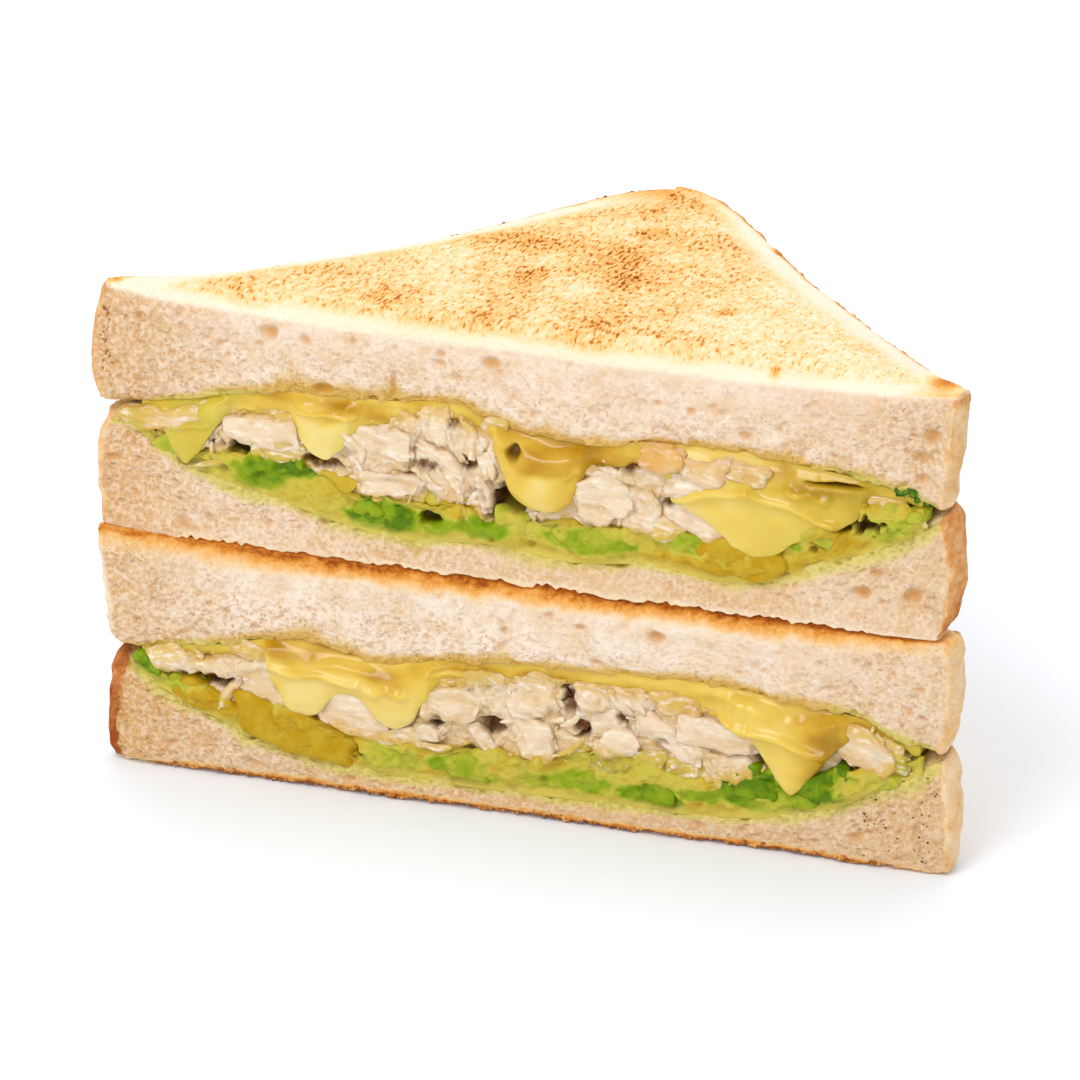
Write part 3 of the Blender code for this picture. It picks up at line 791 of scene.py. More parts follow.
    def build(self, material: bpy.types.Material) -> bpy.types.Object:
        """Makes the slice: its form, the crumb's bubbles at the cut, dents in the crust, and masks.

        Args:
            material: The bread.

        Returns:
            The slice.
        """
        places, distances = self.surface(*self.grid())
        cut = smooth(1.0 - distances["cut"] / 1.6)
        strip = np.where(places[..., 0] < 0.0, self.left_strip, 0.7)
        at_tip = strip + 0.45 * noise(places, 1.5, self.seed + 86) - distances["tip"]
        crust = np.maximum(smooth(1.0 - distances["crust"] / 1.4), smooth(2.6 * at_tip))
        places, depth = self.relief(places, distances, cut, crust)
        self.tear(places, distances, cut)
        piece = Piece(self.name + "_crumb", "toasted_bread")
        piece.add_tube(self.half, places, self.masks(places, distances, cut, crust, depth))
        return piece.build(material, (self.name,))

    def relief(self, places: np.ndarray, distances: dict, cut: np.ndarray, crust: np.ndarray) -> tuple:
        """The surface moved along its normals: open bubbles at the cut, pits on top, a wrinkled crust.

        Args:
            places: Places whose last axis is x, y, z.
            distances: Each place's distances, from surface().
            cut, crust: How near each place is to the cut and to the crust, 0 to 1.

        Returns:
            The moved places, and how deep each lies in a bubble.
        """
        open_cut = np.clip(cut * smooth((distances["tip"] - 0.2) / 1.5), 0.0, 1.0)
        near_cut, on_face = distances["cut"] < PORE_REACH, distances["toast"] < PIT_REACH
        depth, pits = np.zeros(cut.shape), np.zeros(cut.shape)
        depth[near_cut] = self.crumb_depth(places[near_cut])
        depth = depth * open_cut * (0.15 + 0.85 * smooth(distances["toast"] / 1.8))
        pits[on_face] = bubbles(places[on_face] * np.array([1.0, 0.6, 0.3]), 1.7, 0.6, self.seed + 70)
        pits = pits * smooth(1.0 - distances["toast"] / PIT_REACH) * (1.0 - cut)
        tip = smooth(1.0 - distances["tip"] / 2.2)
        wrinkles = lumpy(places, self.seed, (0.22, (3.0, 3.0, 1.6), 80), (0.12, 1.1, 81))
        wrinkles = wrinkles + tip * lumpy(places, self.seed, (0.4, 4.2, 84), (0.25, 1.9, 85))
        rough = 0.13 * fractal(places, 1.1, self.seed + 40, 2) + 0.2 * noise(places, 3.2, self.seed + 44)
        pressed = smooth(1.0 - distances["toast"] / 1.2) * smooth(1.0 - distances["cut"] / 6.0)
        rough = rough * (1.0 - 0.8 * pressed)
        lift = rough * np.maximum(open_cut, 0.35) + wrinkles * crust - depth - 0.35 * pits
        return places + cut_normals(places, 3) * lift[..., None], depth

    def tear(self, places: np.ndarray, distances: dict, cut: np.ndarray) -> None:
        """Ragged edges along the cut: the upper half's lowest edge leans over the seam, none sinks in.

        Args:
            places: Places whose last axis is x, y, z, which it moves.
            distances: Each place's distances, from surface().
            cut: How near each place is to the cut, 0 to 1.
        """
        lip = smooth(1.0 - distances["face"] / 1.4) * cut
        places[..., 2] += 0.55 * lip * fractal(places, 2.0, self.seed + 90, 2)
        seam = smooth(1.0 - distances["toast"]) * cut
        teeth = 0.55 * noise(places * np.array([1.0, 0.3, 1.0]), 0.75, self.seed + 92)
        teeth = teeth + 0.45 * noise(places, 3.4, self.seed + 93)
        if self.on_top:
            places[..., 2] += 0.25 * seam * teeth
        elif self.half is UPPER:
            hang = smooth(1.0 - distances["toast"] / 3.0) * smooth(1.0 - distances["cut"] / 2.5)
            places[..., 1] -= HANG_FORWARD * hang
            places[..., 2] += 0.9 * seam * teeth - HANG_DOWN * hang
            fall = SEAM_FALL * taper(places[..., 0])
            rest = rounding(places[..., 1] + UPPER_SETBACK, EDGE_ROUND, fall) + STACK_GAP
            places[..., 2] = np.maximum(places[..., 2], SEAM_CLEARANCE - rest)
        else:
            places[..., 2] = np.maximum(places[..., 2] + seam * (0.4 + 0.6 * teeth), 0.0)

    def masks(self, places: np.ndarray, distances: dict, cut: np.ndarray, crust: np.ndarray,
              depth: np.ndarray) -> dict:
        """What the material reads: the bubbles, crust, toasting and stains at each place.

        Args:
            places: Places whose last axis is x, y, z.
            distances: Each place's distances, from surface().
            cut, crust: How near each place is to the cut and to the crust, 0 to 1.
            depth: How deep each place lies in a bubble.

        Returns:
            The values for each place, under each mask's name.
        """
        x, to_toast = places[..., 0], distances["toast"]
        side = smooth((x + 20.0) / 40.0)
        toast, cover = self.toast_level(places, distances)
        bake = self.bake[0] + (self.bake[1] - self.bake[0]) * side
        bake = bake + 0.12 * fractal(places, 3.0, self.seed + 83, 2) + 0.25 * smooth(1.0 - to_toast / 3.5)
        # Tan mask: darker towards the tips, more on the left, plus each slice's share; own tan and painted
        # shade.
        tan = smooth((np.abs(x + 4.0) - 36.0) / 32.0) * np.where(side < 0.5, 0.95, 0.5) + self.tan_and_painted_shade
        # A bottom slice darkens more where thin, below the filling: a wet stain and painted shade.
        if not self.on_top:
            tan = tan + 0.8 * smooth(1.0 - (to_toast + distances["face"]) / 10.0)
        lace = (0.5 if self.on_top else 1.0) + 0.6 * smooth((to_toast - 2.5) / 8.0)
        lace = np.clip(lace + 0.7 * smooth((np.abs(x) - 52.0) / 12.0), 0.0, 1.0)
        return {
            # The bubbles' depth, which the material paints as shade inside them.
            "pore": np.clip(depth, 0.0, 1.0) ** 0.8,
            "crust": np.clip(crust, 0.0, 1.0),
            "bake": bake,
            "toast": toast,
            "cover": cover,
            "stain": self.soaked(self.soak, places, distances, cut, 95),
            "green": self.soaked(self.smear, places, distances, cut, 97),
            "tan": tan,
            "fleck": self.plateau(places) * smooth(distances["cut"] - (4.0 if self.under_stack else 0.5)),
            "lace": self.lace * lace * (1.0 - 0.25 * side),
        }

    def soaked(self, reaches: tuple, places: np.ndarray, distances: dict, cut: np.ndarray,
               field_seed: int) -> np.ndarray:
        """How far the filling has soaked into the crumb from its side, with a ragged soft border.

        Args:
            reaches: (x, reach) pairs.
            places: Places whose last axis is x, y, z.
            distances: Each place's distances, from surface().
            cut: How near each place is to the cut, 0 to 1.
            field_seed: Which border.

        Returns:
            A share for each place.
        """
        reach = line_through(reaches, places[..., 0])
        ragged = fractal(places * np.array([1.0, 1.0, 0.5]), 3.6, self.seed + field_seed)
        ragged = reach * (1.0 + 0.45 * ragged)
        wet = smooth(1.25 - distances["face"] / np.maximum(ragged, 0.05)) * smooth(reach / 0.4)
        return np.clip(wet * np.maximum(cut, 0.3), 0.0, 1.0)


# ---------------------------------------------------------------- avocado


@dataclass
class AvocadoMash:
    """The mash that runs through a half: lumpy at the cut, with greener flesh among the yellow.

    patches: (x, z, half width, half height, tone) of what shows at the cut; lumps: loose ones in
    front; hollows: (x, z, half width, half height, depth) of its gaps, pushed in and painted as shade.
    """

    half: Half
    seed: int
    patches: tuple
    lumps: tuple = ()
    hollows: tuple = ()
    loop: tuple = (64, 46, 8, 20)
    stations: int = 380

    def section(self) -> tuple:
        """Depth share and height share round the loop: up the cut, back over the top, and under.

        Returns:
            The two shares of each point.
        """
        front, over, back, under = self.loop
        up, over_top, down, forward = loop_steps(self.loop)
        depth = np.concatenate([np.zeros(front), over_top**1.7, np.ones(back), 1.0 - forward])
        rise = np.concatenate([up, np.ones(over), 1.0 - down, np.zeros(under)])
        return depth, rise

    def tones(self, places: np.ndarray) -> np.ndarray:
        """From 0 for golden mash to 1 for dark green flesh: noise, and the patches seen at the cut.

        Args:
            places: Places whose last axis is x, y, z.

        Returns:
            A tone for each place.
        """
        tone = 0.34 + 0.16 * fractal(places, 5.0, self.seed + 5)
        for *spot, strength in self.patches:
            away = spot_distance(places, *spot) + 0.26 * fractal(places, 2.8, self.seed + 6)
            weight = smooth(1.8 * (1.35 - away))
            tone = tone * (1.0 - weight) + (strength + 0.13 * noise(places, 1.6, self.seed + 7)) * weight
        return np.clip(tone, 0.0, 1.0)

    def build(self, material: bpy.types.Material) -> bpy.types.Object:
        """Makes the mash and its loose lumps as one piece.

        Args:
            material: The mash.

        Returns:
            The piece.
        """
        share, rise = self.section()
        x = np.linspace(-1.0, 1.0, self.stations)[:, None] * FILL_HALF * np.ones(len(share))
        y = share * self.half.filling_depth(x, 3.0)
        low = self.half.bed(x, y) - MASH_OVERLAP
        high = np.maximum(self.half.between(Layer.MASH, x, y), low + MASH_OVERLAP)
        places = np.stack([x, y, low + rise * (high - low)], axis=-1)
        near = smooth(1.0 - y / MASH_REACH)
        edge = smooth(4.0 * rise) * smooth((FILL_HALF - np.abs(x)) / 3.0)
        crumbly = 1.0 + 1.1 * smooth((x - 38.0) / 10.0)
        lumps = lumpy(places, self.seed, (0.8, 5.5, 0), (0.6, 2.4, 1), (0.4, 1.1, 2), (0.18, 0.55, 3))
        sunk = 0.8 * bubbles(places, 2.1, 0.5, self.seed + 12) * near * edge * crumbly
        for *spot, hollow in self.hollows:
            away = spot_distance(places, *spot) + 0.9 * noise(places, 1.0, self.seed + 9)
            sunk = np.maximum(sunk, hollow * smooth(1.4 - away))
        lift = lumps * near * edge * crumbly**0.5 + 0.1 * near
        places = places + cut_normals(places, self.loop[0] // 2) * lift[..., None]
        places[..., 1] += (sunk + 0.75 * smooth(1.0 - (places[..., 2] - low - MASH_OVERLAP) / 1.8)) * near
        ridge = smooth(4.0 * rise - 3.0)
        places[..., 2] += ridge * near * lumpy(places, self.seed, (0.7, 3.0, 10), (0.35, 1.2, 11))
        # Painted shade: the mash darkens in its hollows and going back under the chicken.
        roof = smooth((places[..., 1] - 0.9) / 2.0) * ridge
        piece = Piece(self.half.name + "_mash", "avocado_mash")
        piece.add_tube(self.half, places, {
            "tone": self.tones(places),
            "shade": np.maximum(smooth(sunk / 1.9), 0.85 * roof),
            "thin": smooth(1.0 - (places[..., 2] - low) / 2.4),
        })
        for number, lump in enumerate(self.lumps):
            seed = self.seed + 31 * number
            points, faces, _ = lump.shape(*LUMP_GRID, seed)
            tone = np.clip(lump.tone + 0.16 * noise(points, 1.9, seed + 8), 0.0, 1.0)
            # Painted shade on the lumps, darker further behind the cut.
            deep = smooth((points[:, 1] - 1.8) / 3.0)
            piece.add(self.half.world(points), faces, {"tone": tone, "shade": 0.7 * deep, "thin": 0.0})
        return piece.build(material, (self.half.name + "_avocado",))


# ---------------------------------------------------------------- chicken


@dataclass(frozen=True)
class Chunk:
    """One lump of filling at the cut: a faceted body with torn fibres, stopped softly at the knife.

    x, z: its middle; width, height: its size; tilt: in degrees; blocky: from 0, round, to 1, cut
    square; front: how far its cut face stands behind the knife's plane; tone: its colour mask;
    torn: from 0, soft flesh, to 1, torn fibres; upright: whether its fibres run up and down.
    """

    x: float
    z: float
    width: float
    height: float
    tilt: float = 0.0
    blocky: float = 0.3
    front: float = 0.0
    tone: float = 0.0
    torn: float = 1.0
    depth: float = 11.0
    upright: bool = False
    brown: float = 0.0

    def shape(self, rings: int, around: int, seed: int) -> tuple:
        """The chunk's points, triangles, and its painted shade in creases, on undersides and under ledges.

        A body is the set where sum((n . p / h)^s) = 1 over flat cuts with normals n at distances h,
        so its facets are those cuts and s sets how sharp its edges are. Lumps and fibres move it.

        Args:
            rings, around: The grid's size.
            seed: Which lumps and fibres.

        Returns:
            Points, triangles and painted shade.
        """
        theta = np.linspace(0.0, np.pi, rings + 2)[1:-1, None]
        phi = np.linspace(0.0, 2.0 * np.pi, around, endpoint=False)
        facing = [-np.cos(theta) + 0.0 * phi, np.sin(theta) * np.cos(phi), np.sin(theta) * np.sin(phi)]
        facing = np.stack(facing, axis=-1)
        body = facing / self.gauge(facing, np.random.default_rng(seed))[..., None]
        size, torn = min(self.width, self.height), self.torn
        lumps = lumpy(body, seed, (0.15 * size, 0.5 * size + 0.5, 0), (0.42, 2.1, 1),
                      (0.06 + 0.24 * torn, 0.95, 9))
        lumps = lumps - 0.7 * torn * np.abs(noise(body, 1.6, seed + 12)) + 0.2 * torn
        grain = np.full(3, GRAIN_ACROSS)
        grain[2 if self.upright else 0] = GRAIN_LONG
        bundle = noise(body, 1.5 * grain, seed + 2)
        crease = np.exp(-((bundle / 0.13) ** 2))
        fibre = 0.5 * noise(body, 0.7 * grain, seed + 3) + 0.35 * noise(body, 0.7, seed + 7) - crease
        flake = LEDGES * noise(body, 2.2 * grain**0.5, seed + 11)
        ledge = (np.floor(flake) + smooth(3.0 * (flake - np.floor(flake)) - 1.0)) / LEDGES
        body = body + facing * (lumps + (0.08 + 0.22 * torn) * fibre + 0.5 * torn * ledge)[..., None]
        end = np.sign(facing[..., 0]) * smooth((np.abs(facing[..., 0]) - 0.4) / 0.4)
        body[..., 0] += end * torn * 0.7 * noise(body, (3.0, 0.9, 0.9), seed + 4)
        c, s = np.cos(np.radians(self.tilt)), np.sin(np.radians(self.tilt))
        x = self.x + body[..., 0] * c - body[..., 2] * s
        z = self.z + body[..., 0] * s + body[..., 2] * c
        relief = (0.08 + 0.2 * torn) * noise(body, 1.0, seed + 6) - (0.05 + 0.2 * torn) * fibre
        relief = relief - (0.1 + 0.5 * torn) * ledge
        stop = self.front + 0.45 * noise(body, 2.8, seed + 5) + relief
        past = 0.33 * self.depth + body[..., 1] - stop
        y = stop - 0.15 + 0.5 * (past + np.sqrt(past**2 + 0.08))
        points, faces = tube(np.stack([x, y, z], axis=-1))
        # Painted shade, carried in the fibre mask: darker in the creases between bundles, on undersides and
        # under ledges.
        down = -(facing[..., 0] * s + facing[..., 2] * c)
        cover = 0.6 * crease + 0.6 * smooth(down * 1.3 - 0.2) + 0.3 * smooth(-1.5 * ledge)
        return points, faces, with_poles(np.clip(cover, 0.0, 1.0))

    def gauge(self, facing: np.ndarray, draw: np.random.Generator) -> np.ndarray:
        """One over how far the faceted body reaches each way: sum((n . facing / h)^s)^(1 / s).

        Args:
            facing: Unit directions from its middle.
            draw: What its flat cuts are drawn from.

        Returns:
            A value for each direction.
        """
        cuts = draw.normal(size=(CHUNK_CUTS, 3))
        cuts = np.concatenate([np.eye(3), -np.eye(3), cuts / np.linalg.norm(cuts, axis=1, keepdims=True)])
        halves = np.array([CHUNK_STRETCH * self.width, self.depth, self.height]) * PIECE_GROWTH / 2.0
        round_reach = np.linalg.norm(cuts * halves, axis=1)
        box_reach = BOX_SHARE * np.abs(cuts * halves).sum(axis=1)
        reach = (1.0 - self.blocky) * round_reach + self.blocky * box_reach
        reach[6:] *= draw.uniform(*FACET_REACH, CHUNK_CUTS)
        reach[:6] = np.concatenate([halves, halves])
        sharp = SHARP + SHARPER * self.blocky
        return ((np.clip(facing @ cuts.T, 0.0, None) / reach) ** sharp).sum(axis=-1) ** (1.0 / sharp)


@dataclass(frozen=True)
class Shred:
    """A thin torn strand: a flattened tube that tapers at both ends, along a curve through points."""

    path: tuple
    width: float
    front: float = 0.0
    tone: float = 0.0
    brown: float = 0.0

    def shape(self, rings: int, around: int, seed: int) -> tuple:
        """The shred's points, triangles and painted shade in its grooves: a circle carried along the curve.

        Args:
            rings, around: The grid's size.
            seed: Which lumps.

        Returns:
            Points, triangles and painted shade.
        """
        t = np.linspace(0.0, 1.0, rings)
        steps = np.linspace(0.0, 1.0, len(self.path))
        x, z = (line_through(list(zip(steps, values)), t) for values in zip(*self.path))
        along = np.stack([np.gradient(x), np.gradient(z)])
        along_x, along_z = (along / np.linalg.norm(along, axis=0))[..., None]
        phi = np.linspace(0.0, 2.0 * np.pi, around, endpoint=False)
        radius = 0.5 * self.width * (np.sin(np.pi * np.clip(t, 0.02, 0.98)) ** 0.35)[:, None]
        side, out = radius * np.cos(phi), 0.9 * radius * np.sin(phi)
        body = [x[:, None] - along_z * side, self.front + 0.9 * radius + out, z[:, None] + along_x * side]
        length = t[:, None] * np.hypot(x[-1] - x[0], z[-1] - z[0]) + 0.0 * side
        fibre = noise(np.stack([length, 3.0 * side, 3.0 * out], axis=-1), (2.2, 1.1, 1.1), seed)
        facing = [-along_z * np.cos(phi), np.sin(phi) + 0.0 * side, along_x * np.cos(phi)]
        lift = (0.10 + 0.12 * self.width) * fibre[..., None]
        points, faces = tube(np.stack(body, axis=-1) + lift * np.stack(facing, axis=-1))
        return points, faces, with_poles(np.clip(-fibre, 0.0, 1.0))


@dataclass
class ChickenFilling:
    """The torn chicken of one half: a rough core, the pieces that show, and crumbs between.

    hollows: (x, z, half width, half height) of the gaps that go deep into the heap, painted dark as shade.
    """

    half: Half
    seed: int
    pieces: tuple
    shreds: tuple
    hollows: tuple
    scraps: int = 170

    def core(self) -> tuple:
        """The body of the heap behind the pieces, from the mash up to the cheese.

        Returns:
            Its points and triangles.
        """
        cut, top, back, under = CORE_LOOP
        up, over, down, forward = loop_steps(CORE_LOOP)
        share = np.concatenate([np.zeros(cut), over, np.ones(back), 1.0 - forward])
        rise = np.concatenate([up, np.ones(top), 1.0 - down, np.zeros(under)])
        x = np.linspace(-1.0, 1.0, CORE_STATIONS)[:, None] * (FILL_HALF - 3.0) * np.ones(len(share))
        front = 0.9 * smooth(self.half.leg_depth(x) / 20.0)
        y = front + share * (self.half.filling_depth(x, CORE_LEAST, CORE_INSET) - front)
        low = self.half.between(Layer.MASH, x, y) - 0.6
        high = np.maximum(self.half.between(Layer.MEAT, x, y) + 0.3, low + 0.4)
        places = np.stack([x, y, low + rise * (high - low)], axis=-1)
        rough = lumpy(places, self.seed, (0.7, 4.0, 0), (0.35, 1.2, 1))
        rough = rough + 0.9 * bubbles(places, 3.6, 0.7, self.seed + 4)
        rough = rough - 0.9 * bubbles(places, 1.9, 0.8, self.seed + 5)
        places[..., 1] += (rough + GAP_DEPTH * self.gap(places)) * smooth(1.0 - (y - front) / 6.0)
        return tube(places)

    def gap(self, places: np.ndarray) -> np.ndarray:
        """How far a place lies within one of the dark gaps, from 0 to 1.

        Args:
            places: Places whose last axis is x, y, z.

        Returns:
            A share for each place.
        """
        ragged = 1.7 - 0.8 * noise(places, 1.2, self.seed + 3)
        inside = np.zeros(places.shape[:-1])
        for spot in self.hollows:
            inside = np.maximum(inside, smooth(ragged - spot_distance(places, *spot)))
        return inside

    def loose(self) -> list:
        """Torn scraps and threads of meat between the pieces, by a seeded draw along the cut.

        Returns:
            The scraps and threads.
        """
        draw = np.random.default_rng(self.seed)
        found = []
        for _ in range(self.scraps):
            x, share, tilt, long, bend, width, front = draw.uniform(*SCRAP_DRAWS)
            low, high = (self.half.between(layer, np.array([x]), np.zeros(1))[0]
                         for layer in (Layer.MASH, Layer.MEAT))
            z = low + share * (high - low)
            if high - low > 3.0 and self.gap(np.array([[x, 0.0, z]]))[0] <= 0.3:
                c, s = np.cos(tilt), np.sin(tilt)
                ways = ((-long * c, -long * s), (-bend * s, bend * c), (long * c, long * s))
                found.append(Shred(tuple((x + across, z + up) for across, up in ways), width, front, 0.08))
        return found

    def build(self, material: bpy.types.Material) -> None:
        """Makes the core with the pieces on it, and the shreds and crumbs that lie between them.

        Args:
            material: The meat.
        """
        heap = Piece(self.half.name + "_torn_chicken", "cooked_chicken")
        points, faces = self.core()
        # Painted shade: the heap darkens further behind the cut and in its gaps.
        deep = np.maximum(self.gap(points), 0.4 * smooth((points[:, 1] - 1.2) / 1.6))
        masks = {"tint": self.tint(points, 0.16), "fibre": 0.2, "brown": 0.0, "shade": deep}
        heap.add(self.half.world(points), faces, masks)
        self.dress(heap, self.pieces, CHUNK_GRID, 0)
        heap.build(material, (self.half.name + "_chicken",))
        scraps = Piece(self.half.name + "_chicken_shreds", "cooked_chicken")
        self.dress(scraps, self.shreds, SHRED_GRID, 1000)
        self.dress(scraps, self.loose(), SCRAP_GRID, 2000)
        scraps.build(material)

    def dress(self, piece: Piece, shapes: tuple, grid: tuple, first_seed: int) -> None:
        """Joins shapes to a piece, each with its own seed, and paints them by where they lie."""
        for number, shape in enumerate(shapes):
            seed = self.seed + first_seed + 17 * number
            points, faces, cover = shape.shape(*grid, seed)
            inside = self.gap(points)
            points[:, 1] += inside
            behind = points[:, 1]
            # Painted shade: darker further behind the cut and inside the gaps.
            deep = np.maximum(0.7 * smooth((behind - 1.2) / 2.4), inside * smooth((behind + 0.2) / 1.4))
            brown = np.clip(shape.brown * (1.0 + 0.7 * noise(points, 2.4, seed + 8)), 0.0, 1.0)
            masks = {"tint": self.tint(points, shape.tone), "fibre": cover, "brown": brown, "shade": deep}
            piece.add(self.half.world(points), faces, masks)

    def tint(self, points: np.ndarray, base: float) -> np.ndarray:
        """How much avocado and cheese colours a piece: more where it touches the mash or the cheese.

        Args:
            points: Places on a piece.
            base: How coloured the piece is all over.

        Returns:
            A share for each place.
        """
        x, z = points[:, 0], points[:, 2]
        above = z - self.half.between(Layer.MASH, x, 0.0 * x) - 0.3 * noise(points, 2.0, self.seed + 8)
        below = self.half.between(Layer.MEAT, x, 0.0 * x) - z - 0.5 * noise(points, 2.4, self.seed + 10)
        stained = np.maximum(0.4 * smooth(1.0 - above / 1.5), 0.3 * smooth(1.0 - below / 1.6))
        return np.clip(base + stained + 0.12 * noise(points, 3.0, self.seed + 9), 0.0, 1.0)


# ---------------------------------------------------------------- cheese


@dataclass(frozen=True)
class Fold:
    """A raised fold along a line on the cheese, where the light catches it."""

    start: tuple
    end: tuple
    width: float
    height: float

    def rise(self, x: np.ndarray, z: np.ndarray) -> np.ndarray:
        """Height of the fold: a bell over the distance from its line, which waves a little.

        Args:
            x, z: Places on the face of the cheese.

        Returns:
            The heights there.
        """
        (x0, z0), (x1, z1) = self.start, self.end
        length = np.hypot(x1 - x0, z1 - z0)
        share = np.clip(((x - x0) * (x1 - x0) + (z - z0) * (z1 - z0)) / length**2, 0.0, 1.0)
        wave = 0.25 * np.sin(9.0 * share) * self.width
        away = np.hypot(x - x0 - share * (x1 - x0), z - z0 - share * (z1 - z0) + wave)
        return 0.8 * self.height * np.exp(-((away / (0.62 * self.width)) ** 2))


@dataclass
class MeltedCheese:
    """One half's cheese: a plate under the top slice, and where it melted down over the cut.

    edge, thick, tone, green: (x, value) pairs along the cut for the height that its lower edge hangs
    to, how far it stands out, how deep its yellow is and how much avocado shows through; film: how
    deep its yellow is above, where it is only a film. cracks: (x, z, half width, half height) of its
    gaps, which are pushed in and painted dark as shade.
    """

    half: Half
    seed: int
    edge: tuple
    thick: tuple
    tone: tuple
    green: tuple
    film: tuple
    folds: tuple = ()
    cracks: tuple = ()
    loop: tuple = (16, 70, 46, 14)
    stations: int = 400

    def build(self, material: bpy.types.Material) -> bpy.types.Object:
        """Makes the cheese as one loop carried along the cut: over the plate, down the lip and back.

        Args:
            material: The cheese.

        Returns:
            The piece.
        """
        plate, outer, inner, under = self.loop
        forward, down, up, back = loop_steps(self.loop)
        share = np.concatenate([1.0 - forward, np.zeros(outer + inner), back])
        hang = np.concatenate([np.zeros(plate), down**0.9, 1.0 - up, np.zeros(under)])
        outside = np.concatenate([np.ones(plate + outer), np.zeros(inner + under)]) > 0.5
        x = np.linspace(-1.0, 1.0, self.stations)[:, None] * (FILL_HALF - 0.5) * np.ones(len(share))
        y = np.maximum(share * self.half.filling_depth(x, 2.0), 1.0)
        ripple = lumpy(np.stack([x, 0.0 * x, 0.0 * x], axis=-1), self.seed, (0.55, 3.1, 0), (0.4, 1.3, 1))
        low = self.half.between(Layer.MEAT, x, y) + 0.9 * ripple - 0.2
        high = np.maximum(self.half.lid(x, y) + 0.7, low + 0.3)
        length = np.maximum(low - line_through(self.edge, x) + 0.6 * ripple, 0.25)
        hanging = smooth(length / 3.0)
        end = np.clip(1.0 - hang**4, 0.0, 1.0) ** 0.5
        drip = 1.0 + 0.2 * smooth((hang - 0.45) / 0.4) * smooth(length / 6.0)
        swell = (FILM + (line_through(self.thick, x) - FILM) * hanging) * end * drip
        back_face = 1.7 - 1.8 * hanging
        front_face = np.minimum(1.3 - 1.45 * hanging - swell, back_face - 0.25 * end)
        y = y + (np.where(outside, front_face, back_face) - y) * smooth(hang * np.where(outside, 3.2, 3.6))
        start = np.where(outside, high, low)
        z = start + (low - length - start) * hang ** np.where(outside, 1.05, 1.0)
        places = np.stack([x, y, z], axis=-1)
        near = smooth(1.0 - y / 2.0) * outside
        film = 1.0 - 0.7 * hanging
        bumps = lumpy(places, self.seed, (0.34, (7.0, 5.0, 5.0), 3), (0.1 + 0.2 * film, 2.1, 4),
                      (0.4 * film, (5.0, 3.0, 1.1), 7))
        raised = sum((fold.rise(x, z) for fold in self.folds), 0.0 * x)
        places[..., 1] += near * (bumps - raised)
        flap = hanging * smooth(4.0 * (hang - 0.3 + 0.12 * noise(places, 2.6, self.seed + 10)))
        tone = line_through(self.film, x) + 0.3 * noise(places, (6.0, 4.0, 1.6), self.seed + 8)
        tone = tone + (line_through(self.tone, x) - tone) * flap + 0.14 * noise(places, 3.4, self.seed + 5)
        green = line_through(self.green, x) * (1.0 + 0.6 * noise(places, 2.6, self.seed + 6))
        # The cracks are pushed in and painted dark brown as shade.
        ragged = 1.7 - 0.5 * noise(places, 1.3, self.seed + 9)
        sunk = np.zeros(x.shape)
        for spot in self.cracks:
            sunk = np.maximum(sunk, smooth(ragged - spot_distance(places, *spot)))
        places[..., 1] += near * sunk * 1.8
        piece = Piece(self.half.name + "_melted_cheese", "melted_cheese")
        piece.add_tube(self.half, places, {
            "tone": np.clip(tone, 0.0, 1.0), "green": np.clip(green, 0.0, 1.0), "shade": sunk})
        return piece.build(material, (self.half.name + "_cheese",))


# ---------------------------------------------------------------- bits


class Side(Enum):
    """The side of a half that bits lie on."""

    CUT = "cut"
    TOP = "top"


